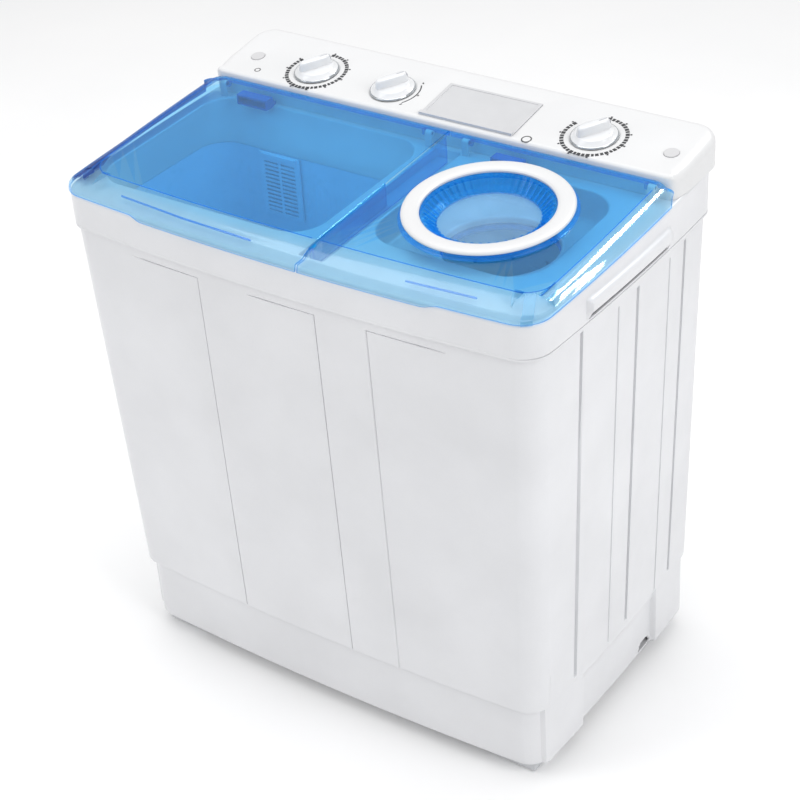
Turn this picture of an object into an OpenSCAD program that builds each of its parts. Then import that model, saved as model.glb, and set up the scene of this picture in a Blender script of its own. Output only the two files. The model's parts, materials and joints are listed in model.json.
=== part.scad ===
// Twin tub washer: wash tub with pulsator on the left, spin basket on the right,
// two hinged translucent lids, a sloped control console with three knobs,
// belt-driven pulsator, direct-driven spin basket with brake, manual drain valve.
// Front faces -Y, left is -X, +Z is up, the origin is on the floor at the middle.

/* [Body] */
// Width of the cabinet at its top seam
body_w = 720; // [716:1:722]
// Depth of the cabinet at its top seam, without the bow of the front
body_d = 440; // [438:1:441]
// Height of the seam between cabinet and top deck
seam_z = 689; // [688:0.5:690]
// Height of the seam between base and cabinet
base_top_z = 125; // [120:1:128]
// Height of the underside of the base
base_bottom_z = 24; // [22:1:26]
// How far the front bulges at the middle
front_bow = 14.4; // [13:0.1:15]
// How far each side bulges at the middle
side_bow = 6.6; // [6:0.1:7]
// How much each side draws in at the bottom of the cabinet
side_taper = 17.8; // [16:0.2:18]
// How much the front draws in at the bottom of the cabinet
front_taper = 11.8; // [10:0.2:12]
// Wall of the moulded cabinet
wall = 2.5; // [2.2:0.1:2.8]

/* [Lids] */
// Slope of the lid tops, rising to the rear
lid_slope = 3.98; // [3.8:0.02:4.1]
// Slope of the deck ledge that the lids rest on
deck_slope = 1.75; // [1.7:0.01:1.8]
// Wall of the lids
lid_t = 2.6; // [2.4:0.1:2.8]
// Where the two lids meet, right of the middle
split_x = 37.5; // [36:0.5:39]
// Outer radius of the white porthole ring
ring_or = 107.8; // [106:0.2:108]
// Inner radius of the white porthole ring
ring_ir = 84.8; // [84:0.2:86]

/* [Controls] */
// Slope of the control panel
panel_slope = 8.5; // [8:0.1:9]
// Radius of a knob's round skirt
knob_r = 30.5; // [29:0.5:31]
// Height of the grip bar on a knob
grip_h = 15; // [13:0.5:17]

/* [Tubs] */
// Radius of the pulsator
pulsator_r = 96; // [92:1:98]
// Number of pulsator vanes
vanes = 4; // [3:1:6]
// Radius of the spin basket
basket_r = 112; // [110:1:113]
// Height of the spin basket
basket_h = 270; // [260:1:272]
// Rows of drain holes in the basket
hole_rows = 6; // [4:1:7]
// Drain holes in each row
holes_round = 14; // [10:1:16]

/* [Hidden] */

white = "whitesmoke";
blue = [0.25, 0.6, 0.95, 0.55];
W = body_w / 2;
D = body_d / 2;
eps = 0.01;

// ---- plan outlines -------------------------------------------------------
function arc(cx, cy, r, a0, a1, n) = [for (i = [0:n]) let (a = a0 + (a1 - a0) * i / n) [cx + r * cos(a), cy + r * sin(a)]];
function seg(p, q, n) = [for (i = [1:n - 1]) p + (q - p) * i / n];
// rounded rectangle, counter-clockwise, front corners rf, rear corners rr
function rrect(x0, x1, y0, y1, rf, rr, n = 7, m = 10) = concat(
  arc(x1 - rf, y0 + rf, rf, -90, 0, n), seg([x1, y0 + rf], [x1, y1 - rr], m),
  arc(x1 - rr, y1 - rr, rr, 0, 90, n), seg([x1 - rr, y1], [x0 + rr, y1], m),
  arc(x0 + rr, y1 - rr, rr, 90, 180, n), seg([x0, y1 - rr], [x0, y0 + rf], m),
  arc(x0 + rf, y0 + rf, rf, 180, 270, n), seg([x0 + rf, y0], [x1 - rf, y0], m));
// the front bulges and both sides bulge a little
function bowed(pts) = [for (p = pts)
  let (x = p[0], y = p[1])
  [x + side_bow * (x / W) * (1 - pow(y / D, 2)),
   y < 0 ? y + front_bow * (y / D) * (1 - pow(x / W, 2)) : y]];
function plan(w, df, dr, rf = 29, rr = 33) = bowed(rrect(-w, w, -df, dr, rf, rr));

tan_l = tan(lid_slope);
tan_d = tan(deck_slope);
function zl(y) = 772 + (y - 102) * tan_l;
function zd(y) = 735 + (y + 240) * tan_d;

module slice(pts, z) translate([0, 0, z]) linear_extrude(eps) polygon(pts);
module sloped(a, b) multmatrix([[1, 0, 0, 0], [0, 1, 0, 0], [0, b, 1, a], [0, 0, 0, 1]]) children();
module loft(p0, z0, p1, z1) hull() { slice(p0, z0); slice(p1, z1 - eps); }
// everything above the plane z = zy at y = 0, rising at the deck's slope
module above_deck(off = 0, h = 200) translate([0, -240, 735 + off]) rotate([deck_slope, 0, 0]) translate([-500, -60, 0]) cube([1000, 700, h]);
module tube(r, ri, h) difference() { cylinder(r = r, h = h, $fn = 72); translate([0, 0, -1]) cylinder(r = ri, h = h + 2, $fn = 72); }

// ---- swept tubes ---------------------------------------------------------
function unit(v) = v / norm(v);
function tang(p, i) = let (n = len(p)) unit(i == 0 ? p[1] - p[0] : i == n - 1 ? p[n - 1] - p[n - 2] : unit(p[i + 1] - p[i]) + unit(p[i] - p[i - 1]));
function ring(c, t, ref, r, k) = let (u = unit(cross(t, ref)), v = cross(t, u)) [for (j = [0:k - 1]) c + r * (cos(360 * j / k) * u + sin(360 * j / k) * v)];
function cr(a, b, c, d, t) = 0.5 * (2 * b + (c - a) * t + (2 * a - 5 * b + 4 * c - d) * t * t + (3 * b - a - 3 * c + d) * t * t * t);
function smooth(p, m) = concat([for (i = [0:len(p) - 2], k = [0:m - 1]) cr(p[max(i - 1, 0)], p[i], p[i + 1], p[min(i + 2, len(p) - 1)], k / m)], [p[len(p) - 1]]);
// solid cord along the points p
module cord(p, r, ref, k = 8) {
  n = len(p);
  polyhedron([for (i = [0:n - 1]) each ring(p[i], tang(p, i), ref, r, k)],
    concat([[for (j = [0:k - 1]) j]],
      [for (i = [0:n - 2], j = [0:k - 1], h = [0, 1]) h == 0 ? [i * k + j, (i + 1) * k + j, (i + 1) * k + (j + 1) % k] : [i * k + j, (i + 1) * k + (j + 1) % k, i * k + (j + 1) % k]],
      [[for (j = [k - 1:-1:0]) (n - 1) * k + j]]));
}
// hollow hose along the points p, outer radius r, inner radius ri
module hose(p, r, ri, ref, k = 16) {
  n = len(p);
  m = n * k;
  polyhedron([for (q = [r, ri], i = [0:n - 1]) each ring(p[i], tang(p, i), ref, q, k)],
    concat(
      [for (i = [0:n - 2], j = [0:k - 1], h = [0, 1]) h == 0 ? [i * k + j, (i + 1) * k + j, (i + 1) * k + (j + 1) % k] : [i * k + j, (i + 1) * k + (j + 1) % k, i * k + (j + 1) % k]],
      [for (i = [0:n - 2], j = [0:k - 1], h = [0, 1]) h == 0 ? [m + (i + 1) * k + (j + 1) % k, m + (i + 1) * k + j, m + i * k + j] : [m + i * k + (j + 1) % k, m + (i + 1) * k + (j + 1) % k, m + i * k + j]],
      [for (j = [0:k - 1], h = [0, 1]) h == 0 ? [j, (j + 1) % k, m + (j + 1) % k] : [j, m + (j + 1) % k, m + j]],
      [for (j = [0:k - 1], h = [0, 1]) let (e = (n - 1) * k) h == 0 ? [m + e + (j + 1) % k, e + (j + 1) % k, e + j] : [m + e + j, m + e + (j + 1) % k, e + j]]));
}

// ---- casing --------------------------------------------------------------
cab_bot = [W - side_taper, D - front_taper];
wall_tilt = atan(side_taper / (seam_z - base_top_z));
// half width of the cabinet's side at a depth and a height
function side_x(y, z) = W - side_taper * (seam_z - z) / (seam_z - base_top_z) + side_bow * (1 - pow(y / D, 2));
groove_y = [-120, -34, 13.5, 98, 140];
module side_groove(y, w, d) for (s = [-1, 1])
  translate([s * side_x(y, 132), y, 132]) rotate([0, s * wall_tilt, 0]) translate([-d, -w / 2, 0]) cube([2 * d, w, 540]);

module cabinet() color(white) difference() {
  loft(plan(cab_bot[0], cab_bot[1], D), base_top_z, plan(W, D, D), seam_z);
  loft(plan(cab_bot[0] - wall, cab_bot[1] - wall, D - wall, 27, 31), base_top_z - 1, plan(W - wall, D - wall, D - wall, 27, 31), seam_z + 1);
  for (i = [0:4]) side_groove(groove_y[i], i % 2 == 0 ? 5 : 3, 0.9);
  // service opening at the rear
  translate([-290, D - 10, 160]) cube([580, 20, 460]);
  // pilot holes for the cover's screws
  for (p = cover_screws) translate([p[0], D - 10, p[1]]) rotate([-90, 0, 0]) cylinder(r = 2.06, h = 20, $fn = 24);
}

module base() color(white) difference() {
  union() {
    difference() {
      linear_extrude(base_top_z + 12) polygon(plan(cab_bot[0] - 8, cab_bot[1] - 8, D - 8, 26, 30));
      translate([0, 0, -1]) linear_extrude(base_top_z + 14) polygon(plan(cab_bot[0] - 11, cab_bot[1] - 11, D - 11, 24, 28));
      // the spigot inside the cabinet is thinner
      difference() {
        translate([-400, -300, base_top_z]) cube([800, 600, 20]);
        translate([0, 0, base_top_z - 1]) linear_extrude(22) polygon(plan(cab_bot[0] - 8.4, cab_bot[1] - 8.4, D - 8.4, 26, 30));
      }
    }
    // the cabinet's bottom edge rests on this rim
    difference() {
      translate([0, 0, base_top_z - 3]) linear_extrude(3) polygon(plan(cab_bot[0] - 1, cab_bot[1] - 1, D - 1, 28, 32));
      translate([0, 0, base_top_z - 4]) linear_extrude(5) polygon(plan(cab_bot[0] - 9, cab_bot[1] - 9, D - 9, 25, 29));
    }
    // floor frame
    translate([0, 0, base_bottom_z]) linear_extrude(4) polygon(plan(cab_bot[0] - 9, cab_bot[1] - 9, D - 9, 26, 30));
  }
  translate([-400, -300, -1]) cube([800, 600, base_bottom_z + 1]);
  // floor openings under the two motors
  translate([-285, -150, 0]) cube([230, 290, 60]);
  translate([190, -22, 0]) cylinder(r = 50, h = 60, $fn = 72);
  // half-round cut-outs at the bottom edge of each side
  for (s = [-1, 1]) translate([s * 335 - 20, 87, base_bottom_z]) rotate([0, 90, 0]) cylinder(r = 17, h = 40, $fn = 40);
}

module feet() color("gainsboro") for (sx = [-1, 1], sy = [-1, 1]) translate([sx * 286, sy < 0 ? -162 : 172, 0]) {
  translate([-36, -26, 3]) cube([72, 52, base_bottom_z - 3]);
  translate([-33, -23, 0]) cube([66, 46, 3.01]);
}

cover_screws = [for (x = [-282, 0, 282], z = [152, 628]) [x, z], [-298, 390], [298, 390]];
module rear_cover() color("gainsboro") difference() {
  union() {
    translate([-308, D + 0.05, 142]) cube([616, 1.5, 496]);
    translate([-286, D - 4, 164]) cube([572, 4.1, 452]);
  }
  translate([-283, D - 5, 167]) cube([566, 5, 446]);
  for (p = cover_screws) translate([p[0], D - 5, p[1]]) rotate([-90, 0, 0]) cylinder(r = 2.2, h = 12, $fn = 24);
  // ventilation slots
  for (i = [0:9]) translate([90, D - 1, 230 + i * 16]) cube([150, 4, 5]);
  // outlet and cord openings
  translate([-215, D - 6, 205]) rotate([-90, 0, 0]) cylinder(r = 19, h = 12, $fn = 48);
  translate([-120, D - 6, 205]) rotate([-90, 0, 0]) cylinder(r = 8, h = 12, $fn = 32);
}
module rear_cover_screws() color("silver") for (p = cover_screws) translate([p[0], D, p[1]]) rotate([-90, 0, 0]) {
  translate([0, 0, -6]) cylinder(r = 2, h = 7.6, $fn = 24);
  translate([0, 0, 1.6]) cylinder(r = 4.2, h = 2, $fn = 32);
}

// ---- top deck ------------------------------------------------------------
wash_x = [-350, 2];
wash_y = [-175, 96];
rim_x = [-345, -12];
rim_y = [-163, 72];
rim_z = 688;
well_x = [62, 305];
well_y = [-141, 84];
floor_z = 700;
bx = 190;
by = -22;
mouth_r = 76;
hinge_y = 95;
hinge_z = 764;
// hinge bosses stand outside and between the lids' arms
wash_boss = [-340, 8];
spin_boss = [66, 340];

module top_deck() color(white) {
  difference() {
    union() {
      difference() {
        translate([0, 0, seam_z - 3]) linear_extrude(80) polygon(plan(W + 4.5, D + 4.5, D + 4.5, 33, 36));
        above_deck();
        // hollow underneath
        difference() {
          translate([0, 0, seam_z - 4]) linear_extrude(90) polygon(plan(W + 1, D + 1, D + 1, 30, 33));
          above_deck(-3);
        }
      }
      // inner step that rests on the cabinet's top edge
      difference() {
        translate([0, 0, seam_z + 0.1]) linear_extrude(3) polygon(plan(W + 2, D + 2, D + 2, 31, 34));
        translate([0, 0, seam_z - 1]) linear_extrude(6) polygon(plan(W - 4, D - 4, D - 4, 26, 29));
      }
      // sunk strip between the lids
      difference() {
        translate([16, -205, 719]) cube([44, 303, 24]);
        above_deck(-0.02);
      }
      // spin well walls and floor
      difference() {
        translate([0, 0, floor_z - 3]) linear_extrude(40) polygon(rrect(well_x[0] - 2.5, well_x[1] + 2.5, well_y[0] - 2.5, well_y[1] + 2.5, 52, 52, 8, 2));
        above_deck(-1);
      }
      translate([bx, by, floor_z - 10]) cylinder(r = mouth_r + 3, h = 10, $fn = 96);
      // grip lip along each side
      for (m = [0, 1]) mirror([m, 0, 0]) translate([0, 84, 0]) rotate([90, 0, 0]) linear_extrude(200)
        polygon([[368.6, 703], [375, 703], [378.4, 705], [379, 708], [377.8, 711], [374.5, 714.6], [368.6, 717.5]]);
      // sloped mouth of the wash tub
      hull() {
        sloped(735 + 240 * tan_d - 1.5, tan_d) linear_extrude(eps) polygon(rrect(wash_x[0] - 2.5, wash_x[1] + 2.5, wash_y[0] - 2.5, wash_y[1] + 2.5, 48, 48, 8, 2));
        slice(rrect(rim_x[0] - 2.5, rim_x[1] + 2.5, rim_y[0] - 2.5, rim_y[1] + 2.5, 46, 46, 8, 2), rim_z);
      }
    }
    // finger opening below each lip
    difference() {
      for (m = [0, 1]) mirror([m, 0, 0]) translate([356, -114, 684]) cube([50, 196, 19]);
      translate([0, 0, 680]) linear_extrude(12.3) polygon(plan(W + 0.7, D + 0.7, D + 0.7, 29.7, 32.7));
    }
    // wash mouth
    hull() {
      sloped(735 + 240 * tan_d + 1, tan_d) linear_extrude(eps) polygon(rrect(wash_x[0], wash_x[1], wash_y[0], wash_y[1], 45, 45, 8, 2));
      slice(rrect(rim_x[0], rim_x[1], rim_y[0], rim_y[1], 43, 43, 8, 2), rim_z - 1);
    }
    // spin well, mouth and small drain holes round it
    translate([0, 0, floor_z]) linear_extrude(60) polygon(rrect(well_x[0], well_x[1], well_y[0], well_y[1], 50, 50, 8, 2));
    translate([bx, by, floor_z - 30]) cylinder(r = mouth_r, h = 60, $fn = 96);
    for (a = [-130, -108, -82, -60, -35, -10]) translate([bx + 92 * cos(a), by + 92 * sin(a), floor_z - 10]) cylinder(r = 2.2, h = 20, $fn = 20);
    // channel for the two middle skirts
    difference() {
      translate([19, -212, 715]) cube([38, 307, 60]);
      translate([0, -240, 735 - 13]) rotate([deck_slope, 0, 0]) translate([-500, -60, -60]) cube([1000, 700, 60]);
    }
    // openings under the console for timers, selector and brake cable
    translate([-262, 124, 700]) cube([84, 62, 80]);
    translate([188, 124, 700]) cube([84, 62, 80]);
    translate([-112, 118, 700]) cube([50, 66, 80]);
    translate([318, 150, 700]) cube([14, 14, 80]);
  }
  // hinge bosses on slim posts
  for (x = concat(wash_boss, spin_boss)) difference() {
    union() {
      translate([x - 5, hinge_y - 4.3, zd(hinge_y) - 2]) cube([10, 3.7, hinge_z - zd(hinge_y) + 2]);
      translate([x - 5, hinge_y, hinge_z]) rotate([0, 90, 0]) cylinder(r = 4.3, h = 10, $fn = 40);
    }
    translate([x - 6, hinge_y, hinge_z]) rotate([0, 90, 0]) cylinder(r = 2.55, h = 12, $fn = 40);
  }
}

// Finger pocket behind the opening in each side of the deck
module side_handle(s) color(white) mirror([s < 0 ? 1 : 0, 0, 0]) difference() {
  translate([351.2, -116, 692.3]) cube([12.6, 200, 25]);
  translate([353, -114, 693.8]) cube([40, 196, 21.7]);
}
module side_handle_left() side_handle(-1);
module side_handle_right() side_handle(1);

// ---- wash side -----------------------------------------------------------
px = -178;
py = -46;
tub_bot = 330;
module wash_tub() color("aliceblue") difference() {
  union() {
    loft(rrect(rim_x[0] + 4, rim_x[1] - 4, rim_y[0] + 4, rim_y[1] - 2, 44, 44, 8, 2), tub_bot, rrect(rim_x[0] - 2.5, rim_x[1] + 2.5, rim_y[0] - 2.5, rim_y[1] + 2.5, 46, 46, 8, 2), rim_z - 0.3);
    translate([px, py, 304]) cylinder(r = pulsator_r + 8, h = 30, $fn = 96);
    // socket for the overflow duct and the sump
    translate([-60, 36, 312]) cylinder(r = 20, h = 22, $fn = 48);
  }
  loft(rrect(rim_x[0] + 7, rim_x[1] - 7, rim_y[0] + 7, rim_y[1] - 5, 41, 41, 8, 2), tub_bot + 3, rrect(rim_x[0], rim_x[1], rim_y[0], rim_y[1], 43, 43, 8, 2), rim_z + 1);
  translate([px, py, 307]) cylinder(r = pulsator_r + 5, h = 30, $fn = 96);
  translate([px, py, 300]) cylinder(r = 16, h = 20, $fn = 48);
  translate([-60, 36, 300]) cylinder(r = 13, h = 40, $fn = 48);
  // opening behind the overflow filter
  translate([-262, 60, 598]) cube([60, 20, 84]);
}
module overflow_duct() color("aliceblue") difference() {
  translate([-272, 75, 345]) cube([80, 24, 338]);
  translate([-269.5, 74, 352]) cube([75, 22.5, 328.5]);
  translate([-230, 87, 340]) cylinder(r = 8, h = 20, $fn = 36);
}
module overflow_filter() color("aliceblue") difference() {
  union() {
    translate([-267, 66.9, 590]) cube([69, 3.1, 97]);
    translate([-260, 69.9, 601]) cube([56, 4, 66]);
    translate([-262, 64.6, 681]) cube([59, 2.6, 5]);
  }
  translate([-257.5, 70.2, 603.5]) cube([51, 6, 61]);
  for (c = [-259, -230.5], i = [0:12]) translate([c, 60, 596 + i * 6.3]) cube([24.5, 16, 3]);
}
module pulsator() color("white") translate([px, py, 0]) difference() {
  union() {
    translate([0, 0, 316]) cylinder(r = pulsator_r, h = 5, $fn = 96);
    translate([0, 0, 321]) cylinder(r1 = pulsator_r - 6, r2 = 34, h = 12, $fn = 72);
    translate([0, 0, 321]) cylinder(r = 30, h = 24, $fn = 72);
    translate([0, 0, 308.6]) cylinder(r = 15, h = 8, $fn = 48);
    for (i = [0:vanes - 1]) rotate(i * 360 / vanes) translate([22, -6, 320]) cube([pulsator_r - 30, 12, 18]);
  }
  translate([0, 0, 300]) cylinder(r = 7, h = 60, $fn = 36);
  translate([0, 0, 337]) cylinder(r = 11, h = 20, $fn = 36);
}
module pulsator_screw() color("silver") translate([px, py, 0]) {
  translate([0, 0, 337]) cylinder(r = 9, h = 4, $fn = 36);
  translate([0, 0, 318.1]) cylinder(r = 3, h = 19, $fn = 24);
}
module pulsator_shaft() color("silver") translate([px, py, 232]) difference() {
  cylinder(r = 7, h = 104.8, $fn = 36);
  translate([0, 0, 86]) cylinder(r = 3, h = 20, $fn = 24);
}
module wash_shaft_seal() color("dimgray") translate([px, py, 302]) difference() {
  union() { cylinder(r = 16, h = 5, $fn = 48); translate([0, 0, -2]) cylinder(r = 20, h = 4, $fn = 48); }
  translate([0, 0, -5]) cylinder(r = 7.06, h = 20, $fn = 48);
}
module bearing_housing() color("silver") translate([px, py, 0]) difference() {
  union() {
    translate([0, 0, 265.2]) cylinder(r = 52, h = 5, $fn = 72);
    translate([0, 0, 265.2]) cylinder(r = 24, h = 34.6, $fn = 60);
  }
  translate([0, 0, 260]) cylinder(r = 7.06, h = 60, $fn = 48);
}
mx = -78;
my = -100;
belt_z = 240;
pull_r = 74;
mot_r = 17;
module drive_pulley() color("dimgray") translate([px, py, belt_z - 6]) difference() {
  rotate_extrude($fn = 96) polygon([[7, 0], [20, 0], [20, 3], [64, 3], [64, 0], [pull_r + 4, 0], [pull_r, 4], [pull_r, 8], [pull_r + 4, 12], [64, 12], [64, 9], [20, 9], [20, 14], [7, 14]]);
  for (i = [0:4]) rotate(i * 72) translate([42, 0, -1]) cylinder(r = 14, h = 20, $fn = 36);
}
module motor_pulley() color("dimgray") translate([mx, my, belt_z - 6])
  rotate_extrude($fn = 60) polygon([[5, 0], [mot_r + 4, 0], [mot_r, 4], [mot_r, 8], [mot_r + 4, 12], [12, 12], [12, 16], [5, 16]]);
module belt_line(o) hull() {
  translate([px, py]) circle(r = pull_r + o, $fn = 96);
  translate([mx, my]) circle(r = mot_r + o, $fn = 48);
}
module drive_belt() color([0.12, 0.12, 0.12]) translate([0, 0, belt_z - 1.6]) linear_extrude(3.2) difference() { belt_line(5.4); belt_line(0.5); }
// the wash motor's own shaft turns with its pulley
module wash_motor_shaft() color("silver") translate([mx, my, 232]) cylinder(r = 5, h = 66, $fn = 40);
module wash_motor() color("lightsteelblue") translate([mx, my, 0]) difference() {
  union() {
    // ends below the recess in the tub's floor
    translate([0, 0, 270]) cylinder(r = 50, h = 32, $fn = 72);
    translate([0, 0, 265.2]) cylinder(r = 18, h = 6, $fn = 48);
    for (i = [0:3]) rotate(i * 90 + 45) translate([50, 0, 265.2]) cylinder(r = 8, h = 14, $fn = 30);
  }
  translate([0, 0, 260]) cylinder(r = 5.06, h = 39, $fn = 40);
}
module drive_bracket() color("slategray") difference() {
  translate([-268, -154, 262]) cube([252, 206, 3.1]);
  translate([px, py, 250]) cylinder(r = 26, h = 30, $fn = 60);
  translate([mx, my, 250]) cylinder(r = 14, h = 30, $fn = 48);
}
post_xy = [[-256, -140], [-258, 42], [-26, -145], [-28, 6]];
module bracket_posts() color("slategray") for (p = post_xy)
  translate([p[0], p[1], 265.1]) difference() { cylinder(r = 7, h = tub_bot - 265.1, $fn = 36); translate([0, 0, -1]) cylinder(r = 2.5, h = 30, $fn = 24); }

// ---- spin side -----------------------------------------------------------
module spin_tub() color("aliceblue") translate([bx, by, 0]) difference() {
  union() {
    translate([0, 0, 392]) cylinder(r = 128, h = 297.8, $fn = 120);
    translate([0, 0, 685]) cylinder(r = 134, h = 4.8, $fn = 120);
    translate([0, 0, 372]) cylinder(r = 34, h = 22, $fn = 72);
  }
  translate([0, 0, 395]) cylinder(r = 125.2, h = 320, $fn = 120);
  translate([0, 0, 360]) cylinder(r = 24, h = 60, $fn = 60);
  translate([-88, 62, 380]) cylinder(r = 12, h = 30, $fn = 40);
}
bz = 410;
module spin_basket() color("silver") translate([bx, by, 0]) difference() {
  translate([0, 0, bz]) cylinder(r = basket_r, h = basket_h - 6, $fn = 120);
  translate([0, 0, bz + 4]) cylinder(r = basket_r - 2, h = basket_h, $fn = 120);
  translate([0, 0, bz - 5]) cylinder(r = 8, h = 30, $fn = 40);
  for (j = [0:hole_rows - 1], i = [0:holes_round - 1])
    rotate((i + (j % 2) / 2) * 360 / holes_round) translate([basket_r - 8, 0, bz + 30 + j * 36]) rotate([0, 90, 0]) cylinder(r = 3, h = 16, $fn = 20);
}
module basket_ring() color([0.35, 0.62, 0.9]) translate([bx, by, bz + basket_h - 6])
  rotate_extrude($fn = 120) polygon([[basket_r, 0], [basket_r, 10], [basket_r - 8, 14], [mouth_r - 2, 14], [mouth_r - 2, 10], [mouth_r + 2, 5], [basket_r - 2, 0.02]]);
module spin_shaft() color("silver") translate([bx, by, 262]) {
  cylinder(r = 7, h = bz - 262 + 2, $fn = 40);
  translate([0, 0, bz - 262 - 10]) cylinder(r = 16, h = 10, $fn = 48);
  translate([0, 0, bz - 262 + 4]) cylinder(r = 14, h = 8, $fn = 6);
  translate([0, 0, bz - 262 - 1]) cylinder(r = 8, h = 7, $fn = 40);
}
module spin_shaft_seal() color("dimgray") translate([bx, by, 0])
  rotate_extrude($fn = 72) polygon([[7.06, 366], [12, 366], [12, 372], [22, 376], [24, 376], [24, 392], [20, 392], [20, 380], [12, 378], [7.06, 380]]);
module spin_motor() color("lightsteelblue") translate([bx, by, 0]) difference() {
  union() {
    translate([0, 0, 196]) cylinder(r = 60, h = 84, $fn = 72);
    translate([0, 0, 280]) cylinder(r = 20, h = 8, $fn = 48);
  }
  translate([0, 0, 255]) cylinder(r = 7.06, h = 60, $fn = 40);
}
spring_a = [30, 150, 270];
module motor_mount_plate() color("slategray") difference() {
  union() {
    translate([bx, by, 190]) cylinder(r = 86, h = 5.9, $fn = 72);
    // bracket that carries the brake lever's pivot
    translate([bx + 64, by - 16, 190]) cube([16, 32, 118]);
  }
  translate([bx, by, 180]) cylinder(r = 30, h = 30, $fn = 48);
  translate([bx + 72, by, 280]) cylinder(r = 3, h = 40, $fn = 30);
}
module motor_mount_springs() color("darkgray") for (a = spring_a) translate([bx + 74 * cos(a), by + 74 * sin(a), 28]) {
  difference() { union() { cylinder(r = 15, h = 162, $fn = 36); cylinder(r = 20, h = 14, $fn = 36); translate([0, 0, 148]) cylinder(r = 20, h = 14, $fn = 36); }
    for (k = [0:9]) translate([0, 0, 20 + k * 12.4]) tube(30, 12.5, 5); }
}
module brake_drum() color("gainsboro") translate([bx, by, 296]) difference() {
  union() { cylinder(r = 46, h = 5, $fn = 72); cylinder(r = 18, h = 32, $fn = 48); tube(46, 41, 26); }
  translate([0, 0, -1]) cylinder(r = 7, h = 60, $fn = 40);
}
// lever with a brake shoe that bears on the drum's rim
module brake_lever() color("slategray") difference() {
  union() {
    translate([bx + 72, by, 309]) cylinder(r = 9, h = 8, $fn = 36);
    translate([bx + 66, by, 309]) cube([12, 40, 4]);
    translate([bx + 38, by + 32, 309]) cube([40, 10, 4]);
    // shoe
    difference() {
      translate([bx + 36, by + 27, 300]) cube([22, 18, 12]);
      translate([bx, by, 290]) cylinder(r = 50, h = 40, $fn = 72);
    }
    translate([bx + 68, by - 44, 309]) cube([9, 46, 4]);
  }
  translate([bx + 72, by, 300]) cylinder(r = 3.05, h = 30, $fn = 30);
}
module brake_pivot_pin() color("silver") translate([bx + 72, by, 290]) { cylinder(r = 3, h = 28.5, $fn = 30); translate([0, 0, 28.4]) cylinder(r = 5.5, h = 2, $fn = 30); }
// sheathed wire from the lid's lever in the console down to the brake lever
cable = [[325, 157, 752], [325, 157, 680], [325, 156, 600], [325, 150, 480], [322, 110, 420], [316, 30, 360], [308, -36, 324], [292, -60, 314], [276, -66, 311]];
module cable_run(p, q, r) let (d = q - p, L = norm(d)) translate(p) rotate([0, acos(d[2] / L), atan2(d[1], d[0])]) cylinder(r = r, h = L, $fn = 32);
module brake_cable() color("black") cord(smooth(cable, 4), 2, [1, 0.2, 0.1], 8);

// ---- lids ----------------------------------------------------------------
lid_w = 366.5;
lid_f = 226;
// full closed form of both lids together, inset by t
module lid_form(t) hull() {
  sloped(735 + 240 * (tan_d + 0.0062) + 0.5 - (t > 0 ? 5 : 0), tan_d + 0.0062) linear_extrude(eps) polygon(bowed(rrect(-lid_w + t, lid_w - t, -lid_f + t, 102 - 2 * t, 34, 14, 7, 8)));
  sloped(735 + 240 * tan_d + 6 - t / 2, tan_d) linear_extrude(eps) polygon(bowed(rrect(-lid_w + t + 0.6, lid_w - t - 0.6, -lid_f + t + 1.2, 102 - 2 * t, 34, 14, 7, 8)));
  sloped(772 - 102 * tan_l - 8 - t, tan_l) linear_extrude(eps) polygon(bowed(rrect(-lid_w + t + 7, lid_w - t - 7, -lid_f + t + 14, 102 - 2 * t, 32, 12, 7, 8)));
  sloped(772 - 102 * tan_l - 2.5 - t, tan_l) linear_extrude(eps) polygon(bowed(rrect(-lid_w + t + 14, lid_w - t - 14, -lid_f + t + 28, 101.5 - 2 * t, 30, 11, 7, 8)));
  sloped(772 - 102 * tan_l - t, tan_l) linear_extrude(eps) polygon(bowed(rrect(-lid_w + t + 23, lid_w - t - 23, -lid_f + t + 45, 99 - 2 * t, 30, 10, 7, 8)));
}
module lid(x0, x1, skirt_x, arms) {
  difference() {
    union() {
      intersection() {
        lid_form(0);
        translate([x0, -300, 700]) cube([x1 - x0, 500, 100]);
      }
      // middle skirt that drops into the deck's channel
      intersection() {
        translate([skirt_x, -208, 700]) cube([lid_t, 295, 100]);
        translate([0, -240, 735 - 12.3]) rotate([deck_slope, 0, 0]) translate([-500, -60, 0]) cube([1000, 700, 26]);
      }
    }
    intersection() {
      lid_form(lid_t);
      translate([x0 + (x0 > 0 ? lid_t : -10), -300, 680]) cube([x1 - x0 - lid_t + 10 * (x0 > 0 ? 1 : 1), 500, 120]);
    }
    // the rear edge ends at the height of the hinge line
    translate([-358, hinge_y - 7, 700]) cube([716, 30, hinge_z - 700]);
    // room for the hinge bosses of the deck
    for (b = (x0 > 0 ? spin_boss : wash_boss)) translate([b - 6.6, hinge_y, hinge_z]) rotate([0, 90, 0]) cylinder(r = 4.75, h = 13.2, $fn = 40);
  }
  // arms that carry the hinge pins
  for (a = arms) translate([a - 1.5, hinge_y, hinge_z]) rotate([0, 90, 0]) cylinder(r = 4.4, h = 3, $fn = 36);
  for (a = arms) translate([a - 1.5, hinge_y - 4.4, hinge_z]) cube([3, 8.8, zl(hinge_y) - hinge_z - 1.4]);
}
wash_arms = [-332, 0];
spin_arms = [74, 332];
module wash_lid() color(blue) lid(-420, split_x - 1.5, split_x - 1.5 - lid_t, wash_arms);
rcx = 192.3;
rcy = -49.3;
module on_lid() translate([rcx, rcy, zl(rcy)]) rotate([lid_slope, 0, 0]) children();
module spin_lid() color(blue) difference() {
  union() {
    lid(split_x + 1.5, 420, split_x + 1.5, spin_arms);
    on_lid() translate([0, 0, -3]) cylinder(r = ring_or + 1.5, h = 8, $fn = 120);
  }
  on_lid() translate([0, 0, -20]) cylinder(r = ring_ir + 0.05, h = 60, $fn = 120);
}
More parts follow.
